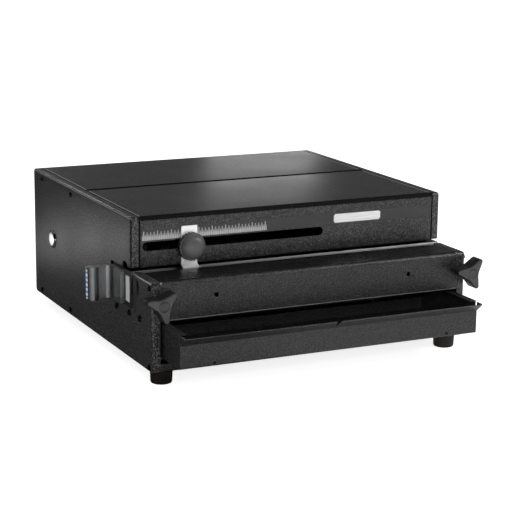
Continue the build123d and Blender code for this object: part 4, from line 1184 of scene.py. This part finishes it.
SHELF_COAT = ShelfCoat(
    "shelf_coat", COAT, (0.276, 0.36), edge=1.1, wear=14.0,
    marks=(
        # Painted highlight along the bottom bend of the shelf's front face.
        Mark((0.0, -71.0, 82.0), (215.0, -66.0, 84.8), 22.0),
        # Painted highlight along the shelf's edges beside the side flanges.
        Mark((214.4, -70.0, 131.5), (216.4, -1.0, 135.0), 18.0),
    ),
)
KNOB_PLASTIC = Plastic("knob_plastic", (0.032, 0.032, 0.033), (0.3, 0.4))
FOOT_RUBBER = Plastic("foot_rubber", (0.008, 0.0062, 0.005), (0.6, 0.8), grain=1.1, relief=0.05)
SCREW_BLACK = Metal("screw_black", (0.03, 0.03, 0.031), (0.2, 0.34), streak=(0.5, 0.5, 0.5))
CHROME = Metal(
    "bright_chrome", (0.82, 0.82, 0.82), (0.1, 0.18), streak=(3.0, 3.0, 3.0), relief=0.002,
    stain=0.9, patch=12.0,
)


class Assembly(Protocol):
    """Anything that main builds."""

    def build(self) -> None:
        """Makes the pieces of the sub-assembly."""


@dataclass(frozen=True)
class Dressing:
    """Gives every carried-over CAD node its finish, and rounds the shading of its curved faces.

    Attributes:
        finishes: Finish of each material slot of the record.
        special: Finish of the nodes that differ from their slot.
    """

    finishes: dict[str, Finish]
    special: dict[str, Finish]

    def smoothing(self) -> bpy.types.NodeTree:
        """The geometry nodes that join loose triangles and shade curved faces smooth.

        Returns:
            The node group.
        """
        group = bpy.data.node_groups.new("smooth_curves", "GeometryNodeTree")
        for way in ("INPUT", "OUTPUT"):
            group.interface.new_socket("Mesh", in_out=way, socket_type="NodeSocketGeometry")
        start = group.nodes.new("NodeGroupInput")
        end = group.nodes.new("NodeGroupOutput")
        plain = group.nodes.new("GeometryNodeRemoveAttribute")
        plain.inputs["Name"].default_value = "custom_normal"
        merge = group.nodes.new("GeometryNodeMergeByDistance")
        merge.inputs["Distance"].default_value = MERGE_DISTANCE
        faces = group.nodes.new("GeometryNodeSetShadeSmooth")
        faces.domain = "FACE"
        faces.inputs["Shade Smooth"].default_value = True
        edges = group.nodes.new("GeometryNodeSetShadeSmooth")
        edges.domain = "EDGE"
        angle = group.nodes.new("GeometryNodeInputMeshEdgeAngle")
        compare = group.nodes.new("FunctionNodeCompare")
        compare.operation = "LESS_THAN"
        compare.inputs["B"].default_value = SHARP_ANGLE
        for source, target in (
            (start.outputs[0], plain.inputs["Geometry"]),
            (plain.outputs["Geometry"], merge.inputs["Geometry"]),
            (merge.outputs["Geometry"], faces.inputs["Geometry"]),
            (faces.outputs["Geometry"], edges.inputs["Geometry"]),
            (angle.outputs["Unsigned Angle"], compare.inputs["A"]),
            (compare.outputs["Result"], edges.inputs["Shade Smooth"]),
            (edges.outputs["Geometry"], end.inputs[0]),
        ):
            group.links.new(source, target)
        return group

    def build(self) -> None:
        """Dresses the nodes."""
        group = self.smoothing()
        for subpart in frame["record"]["subparts"]:
            name = subpart["node"]
            node = frame["nodes"][name]
            finish = self.special.get(name, self.finishes[subpart["material_slot"]])
            node.data.materials.clear()
            node.data.materials.append(material_of(finish))
            smooth = node.modifiers.new("smooth_curves", "NODES")
            smooth.node_group = group
            log.info("%s: %s", name, finish.name)


@dataclass(frozen=True)
class StarKnob:
    """A three-armed clamp knob with tapered arms.

    Attributes:
        side: -1 for the left knob and 1 for the right one.
        turn: Angle of the first arm, in degrees.
        middle: Distance of the axis from the middle of the cabinet.
        height: Height of the axis.
        rear: Rear plane of the arms.
        depth: Depth of the arms.
        reach: Distance from the axis to the tip of an arm.
        tip: Radius of the tip.
        root: Radius that the straight flanks start from.
        hub: Radius of the hub.
        rear_edge: Depth and inset of each ring of the rear edges.
        edge: Radius of the front edges.
        edge_steps: Steps round a front edge.
        cap: Radius of the disc in the middle.
        cap_edge: Depth and widening of each ring of the recess's edge.
        sunk: How deep the disc lies.
        boss: Radius of the boss behind the arms.
        boss_length: Length of the boss.
        boss_chamfer: Chamfer at the boss's end.
        segments: Corners round the knob.
        cap_segments: Corners round the disc.
    """

    side: int
    turn: float
    middle: float = 223.0
    height: float = 110.0
    rear: float = -79.0
    depth: float = 20.0
    reach: float = 23.0
    tip: float = 3.4
    root: float = 9.2
    hub: float = 9.9
    rear_edge: tuple[Span, ...] = ((0.0, 0.9), (0.3, 0.25), (0.9, 0.0))
    edge: float = 1.6
    edge_steps: int = 5
    cap: float = 7.0
    cap_edge: tuple[Span, ...] = ((0.0, 0.25), (0.2, 0.05))
    sunk: float = 0.8
    boss: float = 8.0
    boss_length: float = 2.95
    boss_chamfer: float = 0.4
    segments: int = 168
    cap_segments: int = 64

    def outline(self, inset: float) -> Radius:
        """The star's outline, moved inwards.

        Args:
            inset: How far it is moved inwards.

        Returns:
            The radius by angle.
        """
        tip = self.tip - inset
        root = self.root - inset
        hub = self.hub - inset
        centre = self.reach - self.tip
        lean = math.acos((root - tip) / centre)

        def radius(angle: float) -> float:
            """The outline's radius at an angle.

            Args:
                angle: The angle round the axis, in radians.

            Returns:
                The radius, in millimetres.
            """
            third = FULL_TURN / 3
            off = abs((angle - math.radians(self.turn) + third / 2) % third - third / 2)
            across = centre * math.sin(off)
            if across < tip:
                round_tip = centre * math.cos(off) + math.sqrt(tip * tip - across * across)
                if round_tip * math.cos(off) > centre + tip * math.cos(lean):
                    return round_tip
            return max(root / math.cos(lean - off), hub)

        return radius

    def body_mesh(self) -> bmesh.types.BMesh:
        """The arms, the boss and the recess for the disc.

        Returns:
            The mesh, along +z, in millimetres.
        """
        rings = [
            round_ring(-self.boss_length, self.boss - self.boss_chamfer),
            round_ring(-self.boss_length + self.boss_chamfer, self.boss),
            round_ring(0.0, self.boss),
        ]
        rings += [Ring(depth, self.outline(inset)) for depth, inset in self.rear_edge]
        for step in range(self.edge_steps + 1):
            angle = QUARTER_TURN * step / self.edge_steps
            height = self.depth - self.edge * (1 - math.sin(angle))
            rings.append(Ring(height, self.outline(self.edge * (1 - math.cos(angle)))))
        rings += [round_ring(self.depth - down, self.cap + wider) for down, wider in self.cap_edge]
        rings.append(round_ring(self.depth - self.sunk, self.cap))
        return loft(rings, self.segments)

    def cap_mesh(self) -> bmesh.types.BMesh:
        """The disc in the recess, a little dished.

        Returns:
            The mesh, along +z, in millimetres.
        """
        floor = self.depth - self.sunk
        rim = self.cap - 0.1
        profile = [
            (0.0, floor - 0.3),
            (rim, floor - 0.3),
            (rim, floor + 0.25),
            (self.cap - 0.4, floor + 0.4),
            (self.cap * 0.5, floor + 0.22),
            (0.0, floor + 0.15),
        ]
        return turned(profile, self.cap_segments)

    def build(self) -> None:
        """Makes the knob and its disc."""
        name = "left" if self.side < 0 else "right"
        at = DATUM.point(self.side * self.middle, self.rear, self.height)
        # Face painted paler as painted light, sides darker as painted shade.
        plastic = FrontLitPlastic(
            f"star_plastic_{name}", (0.034, 0.034, 0.035), (0.3, 0.4), edge=0.8,
            front=at.y - self.depth * MM, side=0.22,
        )
        disc = KnobCap(f"knob_cap_{name}", (0.02, 0.02, 0.021), (0.14, 0.2), centre=tuple(at))
        for part, mesh, finish, stands_for in (
            ("body", self.body_mesh(), plastic, (f"star_knob_{name}",)),
            ("cap", self.cap_mesh(), disc, ()),
        ):
            make_piece(
                f"star_knob_{name}_{part}", placed(mesh, at, Facing.FRONT), finish,
                f"clamp_{name}", stands_for,
            )


@dataclass(frozen=True)
class GuideKnob:
    """The round knob of the edge guide, with a ridged rim and a domed face.

    Attributes:
        x: Place of the axis across the cabinet.
        z: Height of the axis.
        rear: Rear plane of the rim.
        rim: Radius of the rim.
        rim_depth: Depth of the rim.
        rear_edge: Depth and inset of each ring of the rim's rear edge.
        front_edge: Distance from the rim's front and inset of each ring of its front edge.
        ridges: How many ridges the rim has.
        groove: Depth of the grooves between the ridges.
        dome: Radius of the domed face at its foot.
        dome_depth: Height of the dome.
        dome_shape: Powers of its rise and of its fall, which make it fuller than a ball.
        dome_tip: Radius of the flat at its top.
        steps: Steps from its foot to its top.
        screw: Radius of the screw through the slot.
        screw_length: Length of that screw.
        screw_segments: Corners round that screw.
    """

    x: float = -147.4
    z: float = 161.0
    rear: float = -3.3
    rim: float = 18.45
    rim_depth: float = 8.0
    rear_edge: tuple[Span, ...] = ((0.0, 1.0), (0.3, 0.3), (1.0, 0.0))
    front_edge: tuple[Span, ...] = ((1.2, 0.0), (0.5, 0.25), (0.0, 1.0))
    ridges: int = 24
    groove: float = 0.95
    dome: float = 16.4
    dome_depth: float = 8.95
    dome_shape: Span = (0.9, 0.72)
    dome_tip: float = 0.4
    steps: int = 14
    screw: float = 2.5
    screw_length: float = 12.0
    screw_segments: int = 32

    def ridged(self, inset: float) -> Radius:
        """The rim's outline with its grooves.

        Args:
            inset: How far it is moved inwards.

        Returns:
            The radius by angle.
        """

        def radius(angle: float) -> float:
            """The outline's radius at an angle."""
            wave = 0.5 + 0.5 * math.cos(angle * self.ridges)
            return self.rim - inset - self.groove * wave ** 3

        return radius

    def mesh(self) -> bmesh.types.BMesh:
        """The rim and the dome in one body.

        Returns:
            The mesh, along +z, in millimetres.
        """
        front = self.rim_depth
        rise_power, fall_power = self.dome_shape
        rings = [Ring(depth, self.ridged(inset)) for depth, inset in self.rear_edge]
        rings += [Ring(front - back, self.ridged(inset)) for back, inset in self.front_edge]
        rings.append(round_ring(front, self.dome))
        for step in range(1, self.steps):
            angle = QUARTER_TURN * step / self.steps
            rise = self.dome_depth * math.sin(angle) ** rise_power
            rings.append(round_ring(front + rise, self.dome * math.cos(angle) ** fall_power))
        rings.append(round_ring(front + self.dome_depth, self.dome_tip))
        return loft(rings, 8 * self.ridges)

    def screw_mesh(self) -> bmesh.types.BMesh:
        """The screw that holds the knob, behind its rim.

        Returns:
            The mesh, along +z, in millimetres.
        """
        chamfer = 0.5
        profile = [
            (0.0, chamfer),
            (self.screw, chamfer),
            (self.screw, chamfer - self.screw_length),
            (self.screw - chamfer, -self.screw_length),
            (0.0, -self.screw_length),
        ]
        return turned(profile, self.screw_segments)

    def build(self) -> None:
        """Makes the knob."""
        at = DATUM.point(self.x, self.rear, self.z)
        # Face painted paler as painted light, sides darker as painted shade.
        finish = FrontLitPlastic(
            "guide_knob_plastic", (0.06, 0.06, 0.062), (0.32, 0.42),
            front=at.y - self.rim_depth * MM, blur=1.0, side=0.16,
        )
        mesh = placed(joined((self.mesh(), self.screw_mesh())), at, Facing.FRONT)
        make_piece("guide_knob_body", mesh, finish, "stop_knob", ("guide_knob",))


@dataclass(frozen=True)
class ScrewHeads:
    """Pan-head screws with a cross recess, through both side panels.

    Attributes:
        name: Name of the piece.
        node: The CAD node it replaces.
        places: Depth and height of each screw.
        head: Radius of a head.
        rise: Height of a head.
        shank: Radius of a shank.
        length: Length of a shank.
        chamfer: Chamfer at a shank's end.
        crown: Height and radius of each ring of a head, as shares of its own.
        recess: Depth of the recess, as a share of the head's radius.
        segments: Corners round a head.
    """

    name: str
    node: str
    places: tuple[Span, ...]
    head: float
    rise: float
    shank: float
    length: float
    chamfer: float = 0.4
    crown: tuple[Span, ...] = ((0.45, 0.985), (0.72, 0.91), (0.9, 0.78), (0.985, 0.6))
    recess: float = 0.5
    segments: int = 32

    def cross(self, reach: float, half: float) -> Radius:
        """The outline of a cross recess.

        Args:
            reach: Length of its arms, as a share of the head's radius.
            half: Half the width of its arms, as a share of the head's radius.

        Returns:
            The radius by angle.
        """

        def radius(angle: float) -> float:
            """The outline's radius at an angle."""
            off = abs((angle + QUARTER_TURN / 2) % QUARTER_TURN - QUARTER_TURN / 2)
            return self.head * min(reach / math.cos(off), half / max(math.sin(off), 0.01))

        return radius

    def mesh(self) -> bmesh.types.BMesh:
        """One screw with its shank and its recess.

        Returns:
            The mesh, along +z, in millimetres.
        """
        head, rise = self.head, self.rise
        recess = self.recess * head
        rings = [
            round_ring(-self.length, self.shank - self.chamfer),
            round_ring(-self.length + self.chamfer, self.shank),
            round_ring(0.0, self.shank),
            round_ring(0.0, head - 0.1),
            round_ring(0.15, head),
        ]
        rings += [round_ring(high * rise, wide * head) for high, wide in self.crown]
        rings += [
            Ring(rise, self.cross(0.52, 0.13)),
            Ring(rise - 0.5 * recess, self.cross(0.34, 0.09)),
            round_ring(rise - 0.8 * recess, head * 0.05),
        ]
        return loft(rings, self.segments)

    def build(self) -> None:
        """Makes all the screws of this kind as one piece."""
        screws = []
        for y, z in self.places:
            for wall, facing in ((-PANEL_WALL, Facing.LEFT), (PANEL_WALL, Facing.RIGHT)):
                screws.append(placed(self.mesh(), DATUM.point(wall, y, z), facing))
        make_piece(self.name, joined(screws), SCREW_BLACK, "housing", (self.node,))


@dataclass(frozen=True)
class HolePlug:
    """The chrome plug in the left panel.

    Attributes:
        y: Depth of its middle.
        z: Height of its middle.
        radius: Radius of its flange.
        crown: Height of its crown.
        crown_shape: Radius and height of each point of the crown, as shares of its own.
        skirt: Radius of the skirt in the hole.
        skirt_length: Length of the skirt.
        sheet: Thickness of the skirt.
        floor: Where the plug's inner side lies.
        segments: Corners round the plug.
    """

    y: float = 310.0
    z: float = 114.0
    radius: float = 13.8
    crown: float = 2.6
    crown_shape: tuple[Span, ...] = (
        (0.0, 1.0), (0.4, 0.992), (0.68, 0.965), (0.82, 0.9),
        (0.9, 0.76), (0.96, 0.5), (0.99, 0.22), (1.0, 0.0),
    )
    skirt: float = 12.6
    skirt_length: float = 7.0
    sheet: float = 1.0
    floor: float = -0.4
    segments: int = 72

    def build(self) -> None:
        """Makes the plug, nearly flat in its middle and rolled at its edge."""
        inner = self.skirt - self.sheet
        profile = [(wide * self.radius, high * self.crown) for wide, high in self.crown_shape]
        profile += [
            (self.skirt, 0.0),
            (self.skirt, -self.skirt_length),
            (inner, -self.skirt_length),
            (inner, self.floor),
            (0.0, self.floor),
        ]
        at = DATUM.point(-PANEL_WALL, self.y, self.z)
        mesh = placed(turned(profile, self.segments), at, Facing.LEFT)
        make_piece("hole_plug_cap", mesh, CHROME, "housing", ("hole_plug",))


@dataclass(frozen=True)
class Foot:
    """A rubber foot with a rounded lower edge.

    Attributes:
        name: Name of the CAD node it replaces.
        x: Place across the cabinet.
        y: Depth of its middle.
        height: Height of the foot.
        radius: Radius under the cabinet.
        lower: Radius at the floor.
        recess: Radius of the recess for the screw.
        recess_depth: Depth of that recess.
        recess_edge: Chamfer of that recess.
        segments: Corners round the foot.
    """

    name: str
    x: float
    y: float
    height: float = 17.3
    radius: float = 14.6
    lower: float = 13.9
    recess: float = 6.0
    recess_depth: float = 6.0
    recess_edge: float = 0.8
    segments: int = 56

    def build(self) -> None:
        """Makes the foot."""
        profile = [
            (0.0, self.recess_depth),
            (self.recess, self.recess_depth),
            (self.recess, self.recess_edge),
            (self.recess + self.recess_edge, 0.0),
            (self.lower - 2.6, 0.0),
            (self.lower - 0.8, 0.7),
            (self.lower, 2.4),
            (self.radius - 0.2, self.height - 3.0),
            (self.radius, self.height - 2.2),
            (self.radius, self.height - 0.6),
            (self.radius - 0.5, self.height),
            (0.0, self.height),
        ]
        at = DATUM.point(self.x, self.y, 0.0)
        mesh = placed(turned(profile, self.segments), at, Facing.UP)
        make_piece(f"{self.name}_pad", mesh, FOOT_RUBBER, "housing", (self.name,))


@dataclass(frozen=True)
class Softbox:
    """One studio lamp.

    Attributes:
        name: Name of the lamp.
        at: Where it hangs, in datum millimetres.
        aim: What it points at, in datum millimetres.
        size: Width and height, in millimetres.
        power: Power in watts.
        glossy: Whether shiny surfaces mirror it.
    """

    name: str
    at: tuple[float, float, float]
    aim: tuple[float, float, float]
    size: Span
    power: float
    glossy: bool = True

    def build(self) -> None:
        """Hangs the lamp."""
        data = bpy.data.lights.new(self.name, "AREA")
        data.shape = "RECTANGLE"
        data.size = self.size[0] * MM
        data.size_y = self.size[1] * MM
        data.energy = self.power
        lamp = bpy.data.objects.new(self.name, data)
        bpy.context.scene.collection.objects.link(lamp)
        lamp.location = DATUM.point(*self.at)
        beam = DATUM.point(*self.aim) - lamp.location
        lamp.rotation_euler = beam.to_track_quat("-Z", "Y").to_euler()
        lamp.visible_camera = False
        lamp.visible_glossy = self.glossy


@dataclass(frozen=True)
class Studio:
    """The white floor, the lamps, the sky and the camera.

    Attributes:
        azimuth: Direction of the camera round the machine, in degrees.
        elevation: Its height above the horizon, in degrees.
        roll: Its roll, in degrees.
        distance: Its distance from the target, in millimetres.
        target: What it looks at, in datum millimetres.
        lens: Its focal length over the sensor.
        sensor: Width of the sensor, in millimetres.
        view_end: How far the camera sees, in metres.
        floor_half: Half the size of the floor, in metres.
        middle: Where the floor's dimmer part is centred, in datum millimetres.
        near_white: Glow of the floor at the machine and far from it, as the camera sees it.
        near_fade: Distances between which that glow grows, in metres.
        floor_tones: The two colours of the floor's faint clouds.
        floor_cloud: Size of those clouds, in millimetres.
        floor_dark: Colour of the floor in its dark zone, for reflections only.
        open_floor: How bright reflections show the open floor.
        open_near: Share of that brightness that is left at the machine.
        front_fade: Depths between which it drops to that share, in millimetres.
        dark_across: Places across between which the dark zone of the reflections ends.
        dark_along: Depths between which that zone starts.
        bright_patch: Middle of the bright patch of the reflections, in datum millimetres.
        patch_size: Radius of that patch, in millimetres.
        patch_fade: Where the patch starts to fade and ends, in radii.
        patch_light: How bright that patch is.
        sky: Strength of the even light from all round.
        sky_fade: Rearward directions between which reflections start to show the sky.
        lamps: The lamps.
    """

    azimuth: float = -25.687
    elevation: float = 12.97
    roll: float = 0.622
    distance: float = 2130.67
    target: tuple[float, float, float] = (-51.99, 0.0, 138.15)
    lens: float = 113.80
    sensor: float = 36.0
    view_end: float = 200.0
    floor_half: float = 16.0
    middle: tuple[float, float, float] = (0.0, 150.0, 0.0)
    near_white: Span = (0.8, 1.0)
    near_fade: Span = (0.5, 1.0)
    floor_tones: tuple[Colour, Colour] = ((0.8, 0.8, 0.8), (0.82, 0.82, 0.82))
    floor_cloud: float = 900.0
    floor_dark: Colour = (0.08, 0.08, 0.08)
    open_floor: float = 0.55
    open_near: float = 0.5
    front_fade: Span = (-760.0, -380.0)
    dark_across: Span = (-150.0, 0.0)
    dark_along: Span = (-320.0, -120.0)
    bright_patch: tuple[float, float, float] = (-500.0, 760.0, 0.0)
    patch_size: float = 170.0
    patch_fade: Span = (0.25, 1.2)
    patch_light: float = 2.1
    sky: float = 0.115
    sky_fade: Span = (0.25, 0.6)
    lamps: tuple[Softbox, ...] = (
        Softbox(
            "key_right", (1500.0, -1100.0, 1300.0), (0.0, 100.0, 120.0),
            (900.0, 900.0), 19.0,
        ),
        Softbox(
            "front_soft", (-700.0, -2200.0, 900.0), (-100.0, 0.0, 120.0),
            (1000.0, 700.0), 31.0, False,
        ),
        Softbox(
            "rim_rear", (-100.0, 1500.0, 740.0), (-150.0, 150.0, 190.0),
            (240.0, 120.0), 0.9,
        ),
        Softbox(
            "glow_rear", (440.0, 1000.0, 330.0), (60.0, 300.0, 200.0),
            (220.0, 80.0), 0.13,
        ),
        Softbox(
            "top_left", (-600.0, 300.0, 1800.0), (-150.0, 0.0, 120.0),
            (700.0, 700.0), 0.8,
        ),
        Softbox(
            "left_fill", (-2000.0, 300.0, 700.0), (-228.0, 150.0, 110.0),
            (900.0, 900.0), 8.5, False,
        ),
        Softbox(
            "top_fill", (0.0, 300.0, 2300.0), (0.0, 150.0, 200.0),
            (900.0, 900.0), 14.0, False,
        ),
    )

    def camera(self) -> None:
        """Sets up the camera."""
        a = math.radians(self.azimuth)
        e = math.radians(self.elevation)
        r = math.radians(self.roll)
        back = Vector((math.sin(a) * math.cos(e), -math.cos(a) * math.cos(e), math.sin(e)))
        right = Vector((math.cos(a), math.sin(a), 0.0))
        up = back.cross(right)
        level = right * math.cos(r) + up * math.sin(r)
        raised = up * math.cos(r) - right * math.sin(r)
        data = bpy.data.cameras.new("camera")
        data.lens = self.lens
        data.sensor_width = self.sensor
        data.clip_end = self.view_end
        camera = bpy.data.objects.new("camera", data)
        bpy.context.scene.collection.objects.link(camera)
        turn = Matrix((level, raised, back)).transposed().to_4x4()
        at = DATUM.point(*self.target) + back * self.distance * MM
        camera.matrix_world = Matrix.Translation(at) @ turn
        bpy.context.scene.camera = camera

    def floor_white(self) -> bpy.types.Material:
        """The floor's material: pale, white to the camera, and uneven in reflections.

        Returns:
            The material.
        """
        graph = MaterialNodes("floor_white")
        path = graph.add("ShaderNodeLightPath").outputs
        glossy = path["Is Glossy Ray"]
        seen = graph.math("MAXIMUM", path["Is Camera Ray"], path["Is Transmission Ray"])
        axes = graph.axes(DATUM.point(0.0, 0.0, 0.0))
        beside = graph.levels(axes["X"], 1.0, 0.0, *self.dark_across)
        behind = graph.levels(axes["Y"], 0.0, 1.0, *self.dark_along)
        dark = graph.math("MULTIPLY", graph.math("MULTIPLY", beside, behind), glossy)
        from_patch = graph.distance(DATUM.point(*self.bright_patch), self.patch_size)
        patch = graph.levels(from_patch, self.patch_light, 0.0, *self.patch_fade)
        open_near = self.open_near * self.open_floor
        ahead = graph.levels(axes["Y"], self.open_floor, open_near, *self.front_fade)
        lost = graph.math("MULTIPLY", dark, self.open_floor)
        even = graph.math("SUBTRACT", ahead, lost, clamp=True)
        shine = graph.math("MULTIPLY", glossy, graph.math("ADD", even, patch))
        away = graph.distance(DATUM.point(*self.middle), METRE)
        near = graph.levels(away, *self.near_white, *self.near_fade)
        pale = graph.blend(graph.noise(self.floor_cloud), *self.floor_tones)
        graph.lay(
            roughness=0.9,
            base_color=graph.blend(dark, pale, self.floor_dark),
            emission_color=(1.0, 1.0, 1.0, 1.0),
            emission_strength=graph.math("MAXIMUM", graph.math("MULTIPLY", seen, near), shine),
        )
        return graph.material

    def floor(self) -> None:
        """Lays the floor, which keeps the machine's shadow."""
        mesh = bmesh.new()
        bmesh.ops.create_grid(mesh, x_segments=1, y_segments=1, size=self.floor_half)
        data = bpy.data.meshes.new("floor")
        mesh.to_mesh(data)
        mesh.free()
        data.materials.append(self.floor_white())
        floor = bpy.data.objects.new("floor", data)
        bpy.context.scene.collection.objects.link(floor)

    def light_world(self) -> None:
        """Fills the sky with even light, white where the camera looks at it or through glass."""
        world = bpy.data.worlds.new("studio_sky")
        world.use_nodes = True
        bpy.context.scene.world = world
        graph = NodeTools(world.node_tree, world.node_tree.nodes["Background"])
        path = graph.add("ShaderNodeLightPath").outputs
        split = graph.add("ShaderNodeSeparateXYZ")
        graph.feed(split.inputs[0], graph.add("ShaderNodeTexCoord").outputs["Generated"])
        rear = graph.levels(split.outputs["Y"], 0.0, self.sky, *self.sky_fade)
        even = graph.between(path["Is Glossy Ray"], self.sky, rear)
        seen = graph.math("MAXIMUM", path["Is Camera Ray"], path["Is Transmission Ray"])
        graph.lay(color=(1.0, 1.0, 1.0, 1.0), strength=graph.between(seen, even, 1.0))

    def build(self) -> None:
        """Sets up the studio."""
        bpy.context.scene.view_settings.view_transform = "Standard"
        self.floor()
        self.light_world()
        for lamp in self.lamps:
            lamp.build()
        self.camera()


def handle_metal() -> LabelledMetal:
    """The pull handle's metal, with a pale banded film on its end and a painted highlight on top.

    Returns:
        The finish, with its film placed from the handle's box.
    """
    low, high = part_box("die_handle")
    film_depth, inwards, outwards = 11.8 * MM, 6.0 * MM, 1.0 * MM
    foot_margin, top_margin, lit_top_depth = 2.0 * MM, 3.0 * MM, 0.1 * MM
    return LabelledMetal(
        "handle_alloy", (0.36, 0.365, 0.37), (0.26, 0.4), (0.35, 0.35, 60.0), 0.02,
        low=(low.x - outwards, high.y - film_depth, low.z + foot_margin),
        high=(low.x + inwards, high.y + outwards, high.z - top_margin),
        film=(0.72, 0.78, 0.85),
        band=(0.08, 0.25, 0.5),
        bands=((0.04, 0.1), (0.2, 0.27), (0.37, 0.43), (0.53, 0.6), (0.7, 0.76), (0.86, 0.94)),
        # The top face painted pale as a painted highlight.
        lit_top=high.z - lit_top_depth,
    )


def block_metal() -> LabelledMetal:
    """The die set's guide block, with a bare film on the end that shows in the left opening.

    Returns:
        The finish, with its film placed in datum millimetres.
    """
    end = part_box("die_guide_block")[0].x
    front, rear, foot, top = 4.5, 18.0, 91.5, 125.5
    return LabelledMetal(
        "block_end", (0.2, 0.2, 0.205), (0.32, 0.5), (50.0, 0.5, 0.5), 0.01,
        low=(end - 1.0 * MM, DATUM.y + front * MM, foot * MM),
        high=(end + 0.5 * MM, DATUM.y + rear * MM, top * MM),
        film=(0.55, 0.55, 0.54),
    )


def dressing() -> Dressing:
    """The finish of every slot and of the nodes that differ from their slot.

    Returns:
        The dressing of the CAD nodes.
    """
    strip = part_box("ruler_strip")[0]
    badge_low, badge_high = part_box("badge_plate")
    badge_size = ((badge_high.x - badge_low.x) / MM, (badge_high.z - badge_low.z) / MM)
    finishes: tuple[Finish, ...] = (
        BLACK_COAT,
        Metal(
            "satin_steel", (0.93, 0.93, 0.92), (0.28, 0.4), (0.5, 0.5, 40.0), relief=0.004,
            stain=0.92, metallic=0.5,
        ),
        Metal("tool_steel", (0.2, 0.2, 0.205), (0.32, 0.5), (50.0, 0.5, 0.5)),
        Metal("die_alloy", (0.12, 0.12, 0.124), (0.4, 0.55), (0.6, 30.0, 0.6)),
        handle_metal(),
        CHROME,
        SCREW_BLACK,
        KNOB_PLASTIC,
        Plastic("switch_plastic", (0.012, 0.012, 0.013), (0.2, 0.3), relief=0.008),
        FOOT_RUBBER,
        RulerFilm("strip_film", (0.028, 0.028, 0.03), (0.32, 0.45), corner=tuple(strip)),
        BlankPlate("badge_film", (0.8, 0.8, 0.81), (0.32, 0.42), tuple(badge_low), badge_size),
        Metal("drive_steel", (0.45, 0.45, 0.45), (0.28, 0.45), (0.6, 0.6, 0.6), 0.012),
        Metal("bearing_bronze", (0.55, 0.36, 0.16), (0.25, 0.42), (0.8, 0.8, 0.8), 0.008),
        Metal("cast_alloy", (0.22, 0.22, 0.225), (0.5, 0.65), (1.6, 1.6, 1.6), 0.08),
        PowderCoat("motor_paint", (0.05, 0.055, 0.062), (0.4, 0.55), grain=2.6),
        CircuitBoard("board_green", (0.015, 0.1, 0.04), (0.3, 0.45)),
    )
    special = {
        "front_table": SHELF_COAT,
        "die_guide_block": block_metal(),
        "side_panel_left": PANEL_COAT,
        "side_panel_right": PANEL_COAT,
        "front_cover": COVER_COAT,
        "chip_drawer": DRAWER_COAT,
        "rear_top_cover": COVER_COAT,
        # Black coat on the bearing plates as painted shade: they stand dark behind the slot.
        "bearing_plate_left": BLACK_COAT,
        "bearing_plate_right": BLACK_COAT,
    }
    return Dressing({finish.name: finish for finish in finishes}, special)


def sub_assemblies() -> list[Assembly]:
    """Everything that main builds, in order.

    Returns:
        The studio, the dressing and the sub-assemblies.
    """
    cover_and_base = (
        (228.6, 193.0), (354.0, 193.5), (-63.0, 24.3), (235.3, 26.6), (361.6, 26.6), (-64.0, 126.0)
    )
    bed = ((-31.0, 79.6), (5.0, 79.0), (49.5, 77.0))
    return [
        Studio(),
        dressing(),
        StarKnob(-1, 42.0),
        StarKnob(1, 52.0),
        GuideKnob(),
        ScrewHeads("panel_screw_heads", "panel_screws", cover_and_base, 3.6, 2.0, 2.0, 6.0),
        ScrewHeads("bed_screw_heads", "bed_screws", bed, 4.1, 2.6, 3.0, 11.0),
        HolePlug(),
        Foot("foot_front_left", -209.0, -54.0),
        Foot("foot_front_right", 209.0, -54.0),
        Foot("foot_rear_left", -185.0, 370.0),
        Foot("foot_rear_right", 185.0, 370.0),
    ]


def corners(bounds: tuple[Vector, Vector]) -> list[list[float]]:
    """A box as plain lists of numbers."""
    return [list(corner) for corner in bounds]


def main() -> None:
    """Builds the studio, dresses the CAD nodes and adds the pieces that replace some of them."""
    logging.basicConfig(level=logging.INFO, format="%(name)s: %(message)s")
    for assembly in sub_assemblies():
        assembly.build()
    bpy.context.view_layer.update()


if __name__ == "__main__":
    main()
